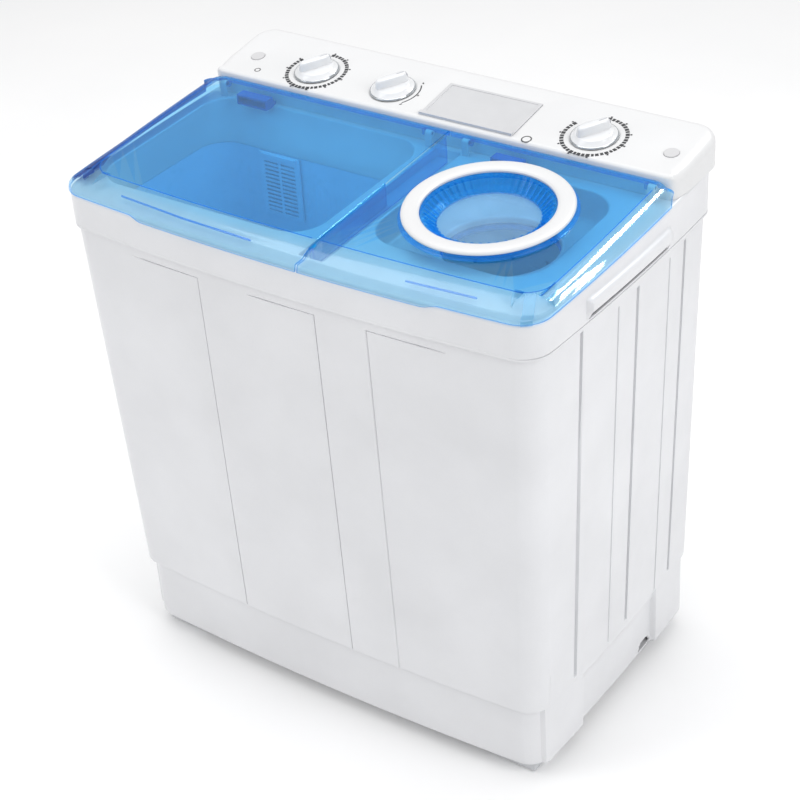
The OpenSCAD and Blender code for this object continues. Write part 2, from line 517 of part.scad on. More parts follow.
module pins(xs, dirs) color(blue) for (i = [0:1]) translate([xs[i] + (dirs[i] > 0 ? 1.5 : -1.5), hinge_y, hinge_z]) rotate([0, dirs[i] * 90, 0]) cylinder(r = 2.5, h = 10.5, $fn = 36);
module wash_lid_pins() pins(wash_arms, [-1, 1]);
module spin_lid_pins() pins(spin_arms, [-1, 1]);
module porthole_ring() color("white") on_lid() rotate_extrude($fn = 120)
  polygon([[ring_ir, 5.05], [ring_or, 5.05], [ring_or + 0.6, 7], [ring_or - 2, 9.4], [ring_or - 6, 10.4], [ring_ir + 5, 9.8], [ring_ir + 0.6, 8.2]]);
module porthole_cone() color(blue) on_lid() difference() {
  rotate_extrude($fn = 120) polygon([[ring_ir, -12], [ring_ir, 5], [ring_ir - 2.4, 5], [66, -11], [20, -13], [0.01, -13], [0.01, -16], [66, -16]]);
  for (i = [0:47]) rotate(i * 7.5) translate([75, 0, 3.4]) rotate([0, -38, 0]) translate([-12, -1, -1.2]) cube([26, 2, 8]);
}

// ---- console -------------------------------------------------------------
con_y0 = 104.6;
con_y1 = 232;
tan_p = tan(panel_slope);
function zp(y) = 778 + (y - con_y0) * tan_p;
// wash timer, selector, spin timer
knob_x = [-216, -87, 227];
knob_y = 149;
// side profile, plan and front profile of the console, all drawn in by t
module con_form(t) intersection() {
  translate([400, 0, 0]) rotate([90, 0, -90]) mirror([1, 0, 0]) linear_extrude(800) polygon(concat(
    [[con_y0 + t, 730], [con_y1 - t, 730]],
    [for (a = [0:15:90]) [con_y1 - 14 - t + 14 * cos(a), zp(con_y1 - 14) - 14 - t + 14 * sin(a)]],
    [for (a = [98.5:20:178.5]) [con_y0 + 5 + t + 5 * cos(a), zp(con_y0 + 5) - 5 - t + 5 * sin(a)]]));
  translate([0, 0, 725]) linear_extrude(120) polygon(concat(
    [[-356 + t, con_y0 - 2 + t], [356 - t, con_y0 - 2 + t], [366.5 - t, con_y0 + 12 + t], [369 - t, con_y0 + 34]],
    arc(336 - t, con_y1 - 33 - t, 33, 0, 90, 9), arc(-336 + t, con_y1 - 33 - t, 33, 90, 180, 9),
    [[-369 + t, con_y0 + 34], [-366.5 + t, con_y0 + 12 + t]]));
  translate([0, con_y0 - 60, zp(con_y0 - 60)]) rotate([panel_slope, 0, 0]) rotate([90, 0, 0]) translate([0, 0, -260]) linear_extrude(260) polygon(concat(
    [[-372, -120], [372, -120]],
    arc(372 - t - 13, 1.3 - t - 13, 13, 0, 90, 6), arc(-372 + t + 13, 1.3 - t - 13, 13, 90, 180, 6)));
}
module on_panel(x, y) translate([x, y, zp(y)]) rotate([panel_slope, 0, 0]) children();
cap_x = [-322, 336];
module control_console() color(white) difference() {
  difference() {
    con_form(0);
    translate([0, -240, 735 + 0.2]) rotate([deck_slope, 0, 0]) translate([-500, 0, -60]) cube([1000, 700, 60]);
  }
  con_form(2.6);
  for (x = knob_x) on_panel(x, knob_y) translate([0, 0, -10]) cylinder(r = 6, h = 30, $fn = 36);
  on_panel(54, 151) translate([-73, -38, -1.2]) cube([146, 77, 10]);
  for (x = cap_x) on_panel(x, 152) translate([0, 0, -1]) cylinder(r = 10, h = 10, $fn = 40);
  for (x = cap_x) on_panel(x, 152) translate([0, 0, -12]) cylinder(r = 2.5, h = 20, $fn = 24);
  // inlet port openings in the rear
  for (x = [-250, 250]) translate([x, con_y1 - 30, 764]) rotate([-90, 0, 0]) cylinder(r = 9.1, h = 50, $fn = 40);
}
module screw_caps() color("gainsboro") for (x = cap_x) on_panel(x, 152) translate([0, 0, -0.95]) cylinder(r = 9.8, h = 2, $fn = 48);
module label_plate() color("lightgray") on_panel(54, 151) difference() {
  union() { translate([-72.6, -37.6, -1.15]) cube([145.2, 76.2, 2.2]); translate([-72.6, -41.5, 0.2]) cube([145.2, 6, 4]); }
  translate([-68, -31, 0.4]) cube([136, 66, 3]);
}
module knob() {
  difference() {
    union() {
      translate([0, 0, 0.6]) cylinder(r = knob_r, h = 3, $fn = 96);
      translate([0, 0, 3.6]) cylinder(r1 = knob_r - 1, r2 = knob_r - 5, h = 3, $fn = 72);
      intersection() {
        translate([0, 0, 6]) cylinder(r1 = knob_r - 5, r2 = knob_r - 9, h = grip_h, $fn = 72);
        translate([-7, -40, 4]) cube([14, 80, grip_h + 4]);
      }
    }
    translate([-0.8, 10, 5 + grip_h]) cube([1.6, 14, 3]);
  }
  translate([0, 0, -24]) cylinder(r = 3, h = 25, $fn = 36);
}
knob_turn = [-35, -35, -35];
module knob_at(i) color("white") on_panel(knob_x[i], knob_y) rotate(knob_turn[i]) knob();
module wash_timer_knob() knob_at(0);
module selector_knob() knob_at(1);
module spin_timer_knob() knob_at(2);
module timer_box(i) on_panel(knob_x[i], knob_y) difference() {
  union() {
    translate([-27, -18, -38]) cube([54, 44, 28]);
    translate([0, 0, -12]) cylinder(r = 9, h = 8, $fn = 40);
    translate([-32, -8, -11.5]) cube([64, 16, 2]);
  }
  translate([0, 0, -25]) cylinder(r = 3.06, h = 40, $fn = 36);
}
module wash_timer() color("dimgray") timer_box(0);
module spin_timer() color("dimgray") timer_box(2);
module selector_guide() color("gainsboro") on_panel(knob_x[1], knob_y) difference() {
  union() { translate([-20, -14, -22]) cube([40, 34, 3]); translate([0, 0, -22]) cylinder(r = 8, h = 15, $fn = 36); for (s = [-1, 1]) translate([s * 18.5 - 1.5, -14, -22]) cube([3, 34, 19]); }
  translate([0, 0, -30]) cylinder(r = 3.06, h = 40, $fn = 36);
  translate([-10, 14, -30]) cube([20, 10, 40]);
}

// ---- drain ---------------------------------------------------------------
vx = -87;
vy = 122;
module drain_pull_rod() color("gainsboro") {
  translate([vx, vy, 336]) cylinder(r = 2.5, h = 396, $fn = 24);
  translate([vx - 6, vy - 3, 716]) cube([12, 6, 12]);
}
module drain_valve_body() color("whitesmoke") union() {
  // seat on which the plug rests
  translate([vx, vy, 294.2]) difference() { cylinder(r = 25, h = 1.5, $fn = 60); translate([0, 0, -1]) cylinder(r = 16, h = 4, $fn = 48); }
  valve_shell();
}
module valve_shell() difference() {
  union() {
    translate([vx, vy, 270]) cylinder(r = 27, h = 60, $fn = 60);
    translate([vx, vy, 326]) cylinder(r = 32, h = 4, $fn = 60);
    // pipe from the tub's sump
    translate([-60, 36, 292]) cylinder(r = 20, h = 19.8, $fn = 48);
    cable_run([-60, 36, 303], [-81, 102, 303], 8.4);
  }
  translate([vx, vy, 273]) cylinder(r = 24.5, h = 53.5, $fn = 60);
  translate([vx, vy, 320]) cylinder(r = 4, h = 20, $fn = 30);
  cable_run([-60, 36, 303], [-83, 108, 303], 6);
  translate([-60, 36, 295]) cylinder(r = 13, h = 20, $fn = 48);
  // ways out to the drain pipe and in from the spin tub
  translate([vx - 40, vy, 284]) rotate([0, 90, 0]) cylinder(r = 10, h = 30, $fn = 40);
  translate([vx + 10, vy, 284]) rotate([0, 90, 0]) cylinder(r = 10, h = 30, $fn = 40);
}
module drain_valve_plug() color("dimgray") translate([vx, vy, 0]) difference() {
  union() { translate([0, 0, 296]) cylinder(r = 22, h = 5, $fn = 60); translate([0, 0, 300]) cylinder(r = 8, h = 10, $fn = 40); translate([0, 0, 310]) cylinder(r = 3.4, h = 30, $fn = 24); }
  translate([0, 0, 335.9]) cylinder(r = 2.5, h = 10, $fn = 24);
}
// hose from the valve to the outlet spout, held inside the casing
pipe_path = [[-114.5, 122, 284], [-150, 122, 284], [-188, 122, 281], [-210, 128, 266], [-215, 134, 240], [-215, 142, 218], [-215, 160, 207], [-215, 182, 205], [-215, 204, 205]];
module drain_pipe() color("lightgray") hose(smooth(pipe_path, 3), 13, 10.5, [1, 0.4, -0.7]);
// spout in the rear cover on which the customer's drain hose is pushed
module drain_outlet() color("gainsboro") translate([-215, 204.3, 205]) rotate([-90, 0, 0]) difference() {
  union() { cylinder(r = 13, h = 36.1, $fn = 64); translate([0, 0, 11]) cylinder(r = 18.5, h = 4.6, $fn = 64); translate([0, 0, 17.6]) cylinder(r = 23, h = 2, $fn = 64); }
  translate([0, 0, -1]) cylinder(r = 10.5, h = 60, $fn = 64);
}
spin_path = [[bx - 88, by + 62, 391.6], [bx - 88, by + 62, 360], [bx - 88, by + 64, 330], [bx - 94, by + 76, 306], [60, 90, 291], [10, 112, 286], [-30, 121, 284], [-59.5, 122, 284]];
module spin_drain_pipe() color("lightgray") hose(smooth(spin_path, 3), 12.5, 10, [0.3, 1, 0.25]);

// ---- water inlets --------------------------------------------------------
module outlet_box(x, w) difference() {
  union() {
    translate([x, 77, 746.2]) cube([w, 16, 14.6]);
    translate([x + 4, 90, 744]) cube([w - 8, 13.4, 6]);
  }
  translate([x + 2, 75, 748.4]) cube([w - 4, 15, 10]);
  // the foot ends on the ledge
  translate([0, -240, 735]) rotate([deck_slope, 0, 0]) translate([-500, -60, -100]) cube([1000, 700, 100]);
}
module water_outlet_boxes() color([0.08, 0.16, 0.4]) { outlet_box(-305, 52); outlet_box(114, 44); }
module water_inlet_ports() color("gainsboro") for (x = [-250, 250]) difference() {
  union() {
    // the neck is a little thinner than the nozzle that takes the hose
    translate([x, con_y1 - 26, 764]) rotate([-90, 0, 0]) cylinder(r = 8.4, h = 240 - con_y1 + 26, $fn = 48);
    translate([x, 232.4, 764]) rotate([-90, 0, 0]) cylinder(r = 9, h = 8, $fn = 48);
    translate([x, con_y1 - 5, 764]) rotate([-90, 0, 0]) cylinder(r = 12.5, h = 2, $fn = 48);
  }
  translate([x, con_y1 - 30, 764]) rotate([-90, 0, 0]) cylinder(r = 6, h = 60, $fn = 48);
}
module capacitor() color("whitesmoke") { translate([30, 150, 330]) cube([36, 26, 58]); translate([26, 176, 336]) cube([44, 2, 46]); for (x = [40, 56]) translate([x, 163, 388]) cylinder(r = 2, h = 6, $fn = 20); }
module cord_gland() color("dimgray") translate([-120, D - 3, 205]) rotate([-90, 0, 0]) difference() {
  union() { cylinder(r = 7.9, h = 5, $fn = 40); translate([0, 0, 4.6]) cylinder(r1 = 11, r2 = 8, h = 8, $fn = 40); cylinder(r = 11, h = 2.5, $fn = 40); }
  translate([0, 0, -1]) cylinder(r = 3.6, h = 20, $fn = 32);
}

cabinet();
base();
feet();
rear_cover();
rear_cover_screws();
top_deck();
side_handle_left();
side_handle_right();
wash_tub();
overflow_duct();
overflow_filter();
pulsator();
pulsator_screw();
pulsator_shaft();
wash_shaft_seal();
bearing_housing();
drive_pulley();
drive_belt();
motor_pulley();
wash_motor();
drive_bracket();
bracket_posts();
spin_tub();
spin_basket();
basket_ring();
spin_shaft();
spin_shaft_seal();
spin_motor();
motor_mount_plate();
motor_mount_springs();
brake_drum();
brake_lever();
brake_pivot_pin();
brake_cable();
wash_lid();
wash_lid_pins();
spin_lid();
spin_lid_pins();
porthole_ring();
porthole_cone();
control_console();
screw_caps();
label_plate();
wash_timer_knob();
selector_knob();
spin_timer_knob();
wash_timer();
spin_timer();
selector_guide();
drain_pull_rod();
drain_valve_body();
drain_valve_plug();
drain_pipe();
drain_outlet();
spin_drain_pipe();
water_outlet_boxes();
wash_motor_shaft();
water_inlet_ports();
capacitor();
cord_gland();
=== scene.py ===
import bpy, bmesh, math, json
from math import sin, cos, tan, radians, pi, hypot, atan2
from mathutils import Vector, Matrix


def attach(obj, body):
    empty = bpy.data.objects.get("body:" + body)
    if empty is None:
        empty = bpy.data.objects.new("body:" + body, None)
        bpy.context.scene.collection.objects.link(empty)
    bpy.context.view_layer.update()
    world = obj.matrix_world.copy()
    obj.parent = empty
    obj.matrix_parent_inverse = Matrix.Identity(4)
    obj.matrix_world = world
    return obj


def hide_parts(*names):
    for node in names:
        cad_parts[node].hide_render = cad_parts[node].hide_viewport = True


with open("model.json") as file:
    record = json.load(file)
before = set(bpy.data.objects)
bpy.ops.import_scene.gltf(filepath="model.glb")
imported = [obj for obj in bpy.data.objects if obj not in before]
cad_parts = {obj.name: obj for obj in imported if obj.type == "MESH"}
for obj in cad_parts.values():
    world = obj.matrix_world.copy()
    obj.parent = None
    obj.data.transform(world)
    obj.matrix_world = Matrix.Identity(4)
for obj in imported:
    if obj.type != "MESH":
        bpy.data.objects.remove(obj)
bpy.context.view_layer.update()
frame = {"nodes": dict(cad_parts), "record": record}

MM = 0.001
W, D, FB, SB = 360.0, 220.0, 14.4, 6.6      # half width, half depth, bow of the front and of the sides
SEAM, BASE_T, BASE_B = 689.0, 125.0, 24.0
TAPX, TAPY = 17.8, 11.8
TL, TD, TP = tan(radians(3.98)), tan(radians(1.75)), tan(radians(8.5))
SPLIT = 37.5
CON0, CON1 = 104.6, 232.0
RCX, RCY = 192.3, -49.3
BX, BY = 190.0, -22.0
PX, PY = -178.0, -46.0
HY, HZ = 95.0, 764.0
def zl(y): return 772 + (y - 102) * TL
def zd(y): return 735 + (y + 240) * TD
def zp(y): return 778 + (y - CON0) * TP

scene = bpy.context.scene
scene.view_settings.view_transform = "Standard"
scene.view_settings.look = "None"

# ------------------------------------------------------------ camera
a, e, r = radians(36.998), radians(33.358), radians(-4.223)
back = Vector((sin(a) * cos(e), -cos(a) * cos(e), sin(e)))
right = Vector((cos(a), sin(a), 0))
up = back.cross(right)
R0 = cos(r) * right + sin(r) * up
R1 = -sin(r) * right + cos(r) * up
cam_data = bpy.data.cameras.new("camera")
cam_data.lens, cam_data.sensor_width = 89.035, 36.0
cam_data.clip_start, cam_data.clip_end = 0.05, 60
cam = bpy.data.objects.new("camera", cam_data)
scene.collection.objects.link(cam)
m = Matrix((R0, R1, back)).transposed().to_4x4()
m.translation = Vector((1.3833, -1.8379, 1.9078))
cam.matrix_world = m
scene.camera = cam

# ------------------------------------------------------------ materials
def nodes_of(name):
    mt = bpy.data.materials.new(name)
    mt.use_nodes = True
    nt = mt.node_tree
    nt.nodes.clear()
    out = nt.nodes.new("ShaderNodeOutputMaterial")
    return mt, nt, out
def noise(nt, scale, detail=3.0, rough=0.5, stretch=None):
    tc = nt.nodes.new("ShaderNodeTexCoord")
    n = nt.nodes.new("ShaderNodeTexNoise")
    n.inputs["Scale"].default_value = scale
    n.inputs["Detail"].default_value = detail
    n.inputs["Roughness"].default_value = rough
    if stretch:
        mp = nt.nodes.new("ShaderNodeMapping")
        mp.inputs["Scale"].default_value = stretch
        nt.links.new(tc.outputs["Object"], mp.inputs["Vector"])
        nt.links.new(mp.outputs["Vector"], n.inputs["Vector"])
    else:
        nt.links.new(tc.outputs["Object"], n.inputs["Vector"])
    return n
def ramp(nt, src, lo, hi, c0, c1):
    cr = nt.nodes.new("ShaderNodeValToRGB")
    cr.color_ramp.elements[0].position, cr.color_ramp.elements[1].position = lo, hi
    cr.color_ramp.elements[0].color = (*c0, 1)
    cr.color_ramp.elements[1].color = (*c1, 1)
    nt.links.new(src, cr.inputs["Fac"])
    return cr.outputs["Color"]
def mrange(nt, src, a0, a1, b0, b1):
    mr = nt.nodes.new("ShaderNodeMapRange")
    for k, v in (("From Min", a0), ("From Max", a1), ("To Min", b0), ("To Max", b1)):
        mr.inputs[k].default_value = v
    nt.links.new(src, mr.inputs["Value"])
    return mr.outputs["Result"]
def mixc(nt, fac, c0, c1, mode="MIX"):
    mx = nt.nodes.new("ShaderNodeMix")
    mx.data_type, mx.blend_type = "RGBA", mode
    if isinstance(fac, float): mx.inputs["Factor"].default_value = fac
    else: nt.links.new(fac, mx.inputs["Factor"])
    for sock, c in ((mx.inputs[6], c0), (mx.inputs[7], c1)):
        if isinstance(c, tuple): sock.default_value = (*c, 1)
        else: nt.links.new(c, sock)
    return mx.outputs[2]
def bump(nt, src, strength, dist):
    b = nt.nodes.new("ShaderNodeBump")
    b.inputs["Strength"].default_value = strength
    b.inputs["Distance"].default_value = dist
    nt.links.new(src, b.inputs["Height"])
    return b.outputs["Normal"]
def moulded(name, col, rough=0.34, spread=0.06, grain=700.0, depth=0.00012, metal=0.0, tone=0.035, stretch=None, dust=0.0, spec=0.5, coat=0.0):
    """Moulded or cast surface: slow tone drift, fine grain, uneven gloss, a little dust low down."""
    mt, nt, out = nodes_of(name)
    p = nt.nodes.new("ShaderNodeBsdfPrincipled")
    slow, mid, fine = noise(nt, 7.0, 4.0), noise(nt, 60.0, 4.0, 0.6), noise(nt, grain, 2.0, 0.5, stretch)
    d = tuple(max(0.0, c * (1 - 2 * tone)) for c in col)
    u = tuple(min(1.0, c * (1 + 0.4 * tone)) for c in col)
    c = ramp(nt, slow.outputs["Fac"], 0.32, 0.68, d, u)
    c = mixc(nt, 0.12, c, ramp(nt, fine.outputs["Fac"], 0.35, 0.65, tuple(x * 0.93 for x in col), u))
    if dust:
        tc = nt.nodes.new("ShaderNodeTexCoord")
        sx = nt.nodes.new("ShaderNodeSeparateXYZ")
        nt.links.new(tc.outputs["Object"], sx.inputs[0])
        low = mrange(nt, sx.outputs["Z"], 0.02, 0.30, dust, 0.0)
        mul = nt.nodes.new("ShaderNodeMath"); mul.operation = "MULTIPLY"
        nt.links.new(low, mul.inputs[0]); nt.links.new(mid.outputs["Fac"], mul.inputs[1])
        c = mixc(nt, mul.outputs[0], c, (0.62, 0.61, 0.59))
    nt.links.new(c, p.inputs["Base Color"])
    nt.links.new(mrange(nt, mid.outputs["Fac"], 0.3, 0.7, rough - spread, rough + spread), p.inputs["Roughness"])
    nt.links.new(bump(nt, fine.outputs["Fac"], 0.35, depth), p.inputs["Normal"])
    p.inputs["Metallic"].default_value = metal
    p.inputs["Specular IOR Level"].default_value = spec
    p.inputs["Coat Weight"].default_value = coat
    nt.links.new(p.outputs[0], out.inputs["Surface"])
    return mt
def clear_tint(name, tint, edge, gloss=0.045, body=(0.02, 0.42, 1.0), haze=0.085):
    """Clear tinted plastic: light passes straight through and takes its colour, the edges read darker, and the skin is glossy with faint rubbing marks."""
    mt, nt, out = nodes_of(name)
    mid, fine = noise(nt, 35.0, 4.0, 0.6), noise(nt, 420.0, 3.0, 0.6, (1.0, 0.12, 1.0))
    tr = nt.nodes.new("ShaderNodeBsdfTransparent")
    lw = nt.nodes.new("ShaderNodeLayerWeight"); lw.inputs["Blend"].default_value = 0.5
    pe = nt.nodes.new("ShaderNodeMath"); pe.operation = "POWER"
    nt.links.new(lw.outputs["Facing"], pe.inputs[0]); pe.inputs[1].default_value = 5.0
    c = mixc(nt, mid.outputs["Fac"], tuple(x * 0.965 for x in tint), tint)
    c = mixc(nt, mrange(nt, pe.outputs[0], 0.0, 1.0, 0.0, 0.7), c, edge)
    nt.links.new(c, tr.inputs["Color"])
    hz = nt.nodes.new("ShaderNodeBsdfPrincipled")
    nt.links.new(ramp(nt, mid.outputs["Fac"], 0.3, 0.7, tuple(x * 0.94 for x in body), body), hz.inputs["Base Color"])
    nt.links.new(mrange(nt, fine.outputs["Fac"], 0.3, 0.7, 0.30, 0.42), hz.inputs["Roughness"])
    mh = nt.nodes.new("ShaderNodeMixShader")
    nt.links.new(mrange(nt, mid.outputs["Fac"], 0.3, 0.7, haze * 0.9, haze * 1.1), mh.inputs["Fac"])
    nt.links.new(tr.outputs[0], mh.inputs[1]); nt.links.new(hz.outputs[0], mh.inputs[2])
    gl = nt.nodes.new("ShaderNodeBsdfPrincipled")
    gl.inputs["Metallic"].default_value = 1.0
    gcol = ramp(nt, mid.outputs["Fac"], 0.3, 0.7, (0.95, 0.97, 1.0), (1.0, 1.0, 1.0))
    nt.links.new(gcol, gl.inputs["Base Color"])
    nt.links.new(mrange(nt, fine.outputs["Fac"], 0.35, 0.75, gloss, gloss * 2.6), gl.inputs["Roughness"])
    nt.links.new(bump(nt, mid.outputs["Fac"], 0.12, 0.0006), gl.inputs["Normal"])
    # gloss grows toward grazing, the same on both faces of the sheet
    f5 = nt.nodes.new("ShaderNodeLayerWeight"); f5.inputs["Blend"].default_value = 0.5
    pw = nt.nodes.new("ShaderNodeMath"); pw.operation = "POWER"
    nt.links.new(f5.outputs["Facing"], pw.inputs[0]); pw.inputs[1].default_value = 4.6
    fr = mrange(nt, pw.outputs[0], 0.0, 1.0, 0.030, 0.85)
    mx = nt.nodes.new("ShaderNodeMixShader")
    nt.links.new(fr, mx.inputs["Fac"])
    nt.links.new(mh.outputs[0], mx.inputs[1]); nt.links.new(gl.outputs[0], mx.inputs[2])
    nt.links.new(mx.outputs[0], out.inputs["Surface"])
    return mt

def milky(name, tint, body, fac):
    """Frosted clear plastic: part of the light passes, the rest is scattered back."""
    mt, nt, out = nodes_of(name)
    mid, fine = noise(nt, 40.0, 4.0, 0.6), noise(nt, 600.0, 2.0)
    tr = nt.nodes.new("ShaderNodeBsdfTransparent")
    nt.links.new(mixc(nt, mid.outputs["Fac"], tuple(x * 0.96 for x in tint), tint), tr.inputs["Color"])
    p = nt.nodes.new("ShaderNodeBsdfPrincipled")
    nt.links.new(ramp(nt, mid.outputs["Fac"], 0.3, 0.7, tuple(x * 0.95 for x in body), body), p.inputs["Base Color"])
    nt.links.new(mrange(nt, fine.outputs["Fac"], 0.3, 0.7, 0.12, 0.24), p.inputs["Roughness"])
    nt.links.new(bump(nt, fine.outputs["Fac"], 0.2, 0.00008), p.inputs["Normal"])
    mx = nt.nodes.new("ShaderNodeMixShader")
    nt.links.new(mrange(nt, mid.outputs["Fac"], 0.2, 0.8, fac - 0.04, fac + 0.04), mx.inputs["Fac"])
    nt.links.new(tr.outputs[0], mx.inputs[1]); nt.links.new(p.outputs[0], mx.inputs[2])
    nt.links.new(mx.outputs[0], out.inputs["Surface"])
    return mt
M = {}
M["milky_clear"] = milky("milky_clear", (0.80, 0.93, 1.0), (0.36, 0.62, 0.92), 0.26)
M["white_plastic"] = moulded("white_plastic", (0.690, 0.695, 0.715), 0.33, 0.05, 520.0, 0.00010, dust=0.10)
M["panel_plastic"] = moulded("panel_plastic", (0.665, 0.668, 0.675), 0.34, 0.015, 620.0, 0.00006, tone=0.015)
# pale blue-white tub plastic, its colour pushed lighter and bluer to make up for the dim light inside the tub: partly
# painted light
M["tub_plastic"] = moulded("tub_plastic", (0.68, 0.84, 0.98), 0.30, 0.05, 380.0, 0.00012)
M["grey_plastic"] = moulded("grey_plastic", (0.56, 0.57, 0.59), 0.46, 0.06, 900.0, 0.00015)
M["cap_plastic"] = moulded("cap_plastic", (0.54, 0.54, 0.55), 0.42, 0.05, 800.0, 0.00012)
M["rear_cover_plastic"] = moulded("rear_cover_plastic", (0.66, 0.67, 0.69), 0.50, 0.06, 260.0, 0.00035)
M["black_rubber"] = moulded("black_rubber", (0.030, 0.030, 0.033), 0.72, 0.08, 1100.0, 0.0002, tone=0.15)
M["hose_plastic"] = moulded("hose_plastic", (0.55, 0.56, 0.58), 0.55, 0.07, 500.0, 0.0002)
M["motor_steel"] = moulded("motor_steel", (0.30, 0.34, 0.38), 0.40, 0.08, 340.0, 0.0002, metal=0.35, tone=0.08)
M["bracket_steel"] = moulded("bracket_steel", (0.20, 0.215, 0.23), 0.52, 0.09, 300.0, 0.00025, metal=0.25, tone=0.1)
M["zinc_steel"] = moulded("zinc_steel", (0.62, 0.63, 0.65), 0.30, 0.08, 800.0, 0.00008, metal=1.0, tone=0.1, stretch=(1, 1, 0.08))
M["cast_aluminium"] = moulded("cast_aluminium", (0.62, 0.63, 0.64), 0.45, 0.09, 420.0, 0.0003, metal=0.95, tone=0.08)
# steel basket, coloured lighter and less metallic than steel to brighten its dim, shaded inside: partly painted light
M["basket_steel"] = moulded("basket_steel", (0.90, 0.93, 0.96), 0.34, 0.07, 900.0, 0.00006, metal=0.15, tone=0.06, stretch=(1, 1, 0.05))
M["ring_plastic"] = moulded("ring_plastic", (0.05, 0.32, 0.82), 0.28, 0.05, 500.0, 0.0001, tone=0.08)
M["navy_plastic"] = moulded("navy_plastic", (0.008, 0.13, 0.50), 0.22, 0.05, 500.0, 0.0001, tone=0.1)
M["label_silver"] = moulded("label_silver", (0.56, 0.565, 0.58), 0.36, 0.06, 900.0, 0.00005, metal=0.12, tone=0.05, stretch=(0.03, 1, 1))
M["knob_plastic"] = moulded("knob_plastic", (0.70, 0.71, 0.725), 0.20, 0.03, 700.0, 0.00005, coat=0.3)
M["chrome_rim"] = moulded("chrome_rim", (0.52, 0.55, 0.58), 0.11, 0.03, 900.0, 0.00002, metal=1.0, tone=0.05)
M["ink"] = moulded("ink", (0.022, 0.023, 0.027), 0.55, 0.06, 1500.0, 0.00003, tone=0.15)
M["ink_grey"] = moulded("ink_grey", (0.40, 0.41, 0.44), 0.55, 0.06, 1500.0, 0.00003, tone=0.1)
M["blue_translucent"] = clear_tint("blue_translucent", (0.575, 0.868, 1.0), (0.20, 0.58, 1.0))
M["blue_deep"] = clear_tint("blue_deep", (0.34, 0.74, 1.0), (0.05, 0.36, 1.0))
# painted sheen: a paler, hazier clear blue for the lids' lower front and side skirts and the corner tab, standing in
# for the highlights on those slopes
M["blue_pale"] = clear_tint("blue_pale", (0.82, 0.93, 0.985), (0.36, 0.66, 0.97), body=(0.34, 0.72, 0.95), haze=0.08)
M["blue_edge"] = milky("blue_edge", (0.50, 0.80, 1.0), (0.01, 0.27, 0.95), 0.38)
# painted reflection: a darker, denser blue for the far left side of the wash lid, standing in for the dark surroundings
# seen in it
M["blue_side"] = milky("blue_side", (0.34, 0.55, 0.84), (0.03, 0.10, 0.36), 0.40)
# painted light: a bright, saturated, scattering blue for the middle skirts, where the channel between the lids lies in
# shade; the lids' rear walls share it
M["blue_skirt"] = milky("blue_skirt", (0.52, 0.89, 1.0), (0.01, 0.46, 1.0), 0.34)
M["blue_cone"] = milky("blue_cone", (0.58, 0.86, 1.0), (0.01, 0.36, 1.0), 0.26)

SLOT = {s["node"]: s["material_slot"] for s in frame["record"]["subparts"]}
for n, o in frame["nodes"].items():
    o.data.materials.clear()
    o.data.materials.append(M[SLOT[n] if SLOT[n] in M else "white_plastic"])
for n in ("porthole_cone",):
    frame["nodes"][n].data.materials[0] = M["blue_deep"]
frame["nodes"]["screw_caps"].data.materials[0] = M["cap_plastic"]

# ------------------------------------------------------------ mesh helpers
def smoothstep(a, b, x):
    t = min(max((x - a) / (b - a), 0.0), 1.0)
    return t * t * (3 - 2 * t)
def arc(cx, cy, r, a0, a1, n):
    return [(cx + r * cos(radians(a0 + (a1 - a0) * i / n)), cy + r * sin(radians(a0 + (a1 - a0) * i / n))) for i in range(n + 1)]
def bow(p):
    x, y = p
    return (x + SB * (x / W) * (1 - (y / D) ** 2), y + FB * (y / D) * (1 - (x / W) ** 2) if y < 0 else y)
def lin(a, b, n): return [a + (b - a) * i / n for i in range(1, n)]
def rrect(x0, x1, y0, y1, rf, rr, n=10, ys=None, xf=None, xr=None):
    ys = lin(y0 + rf, y1 - rr, 10) if ys is None else ys
    xf = lin(x0 + rf, x1 - rf, 14) if xf is None else xf
    xr = lin(x0 + rr, x1 - rr, 10) if xr is None else xr
    return (arc(x1 - rf, y0 + rf, rf, -90, 0, n) + [(x1, y) for y in ys] + arc(x1 - rr, y1 - rr, rr, 0, 90, n)
            + [(x, y1) for x in reversed(xr)] + arc(x0 + rr, y1 - rr, rr, 90, 180, n) + [(x0, y) for y in reversed(ys)]
            + arc(x0 + rf, y0 + rf, rf, 180, 270, n) + [(x, y0) for x in xf])
def plan(w, df, dr, rf=29, rr=33, **k): return [bow(p) for p in rrect(-w, w, -df, dr, rf, rr, **k)]
def normals(pts):
    n, out = len(pts), []
    for i in range(n):
        ax, ay = pts[i - 1]; bx_, by_ = pts[(i + 1) % n]
        dx, dy = bx_ - ax, by_ - ay
        l = hypot(dx, dy) or 1.0
        out.append((dy / l, -dx / l))
    return out
def inset(pts, d):
    nn = normals(pts)
    return [(p[0] - n[0] * d, p[1] - n[1] * d) for p, n in zip(pts, nn)]
def at_z(pts, z): return [(p[0], p[1], z(p[1]) if callable(z) else z) for p in pts]
def add_ring(bm, pts): return [bm.verts.new((x * MM, y * MM, z * MM)) for x, y, z in pts]
def skin(bm, rings, wrap=False, keep=None):
    rs = rings + ([rings[0]] if wrap else [])
    for k in range(len(rs) - 1):
        A, B = rs[k], rs[k + 1]
        n = len(A)
        for i in range(n):
            if keep and not keep(A[i], A[(i + 1) % n], B[i], k): continue
            bm.faces.new((A[i], A[(i + 1) % n], B[(i + 1) % n], B[i]))
def fill(bm, loops):
    edges = []
    for lp in loops:
        for i in range(len(lp)):
            e_ = bm.edges.get((lp[i], lp[(i + 1) % len(lp)])) or bm.edges.new((lp[i], lp[(i + 1) % len(lp)]))
            edges.append(e_)
    bmesh.ops.triangle_fill(bm, use_beauty=True, use_dissolve=False, edges=edges)
def cap(bm, ring, flip=False):
    bm.faces.new(list(reversed(ring)) if flip else ring)
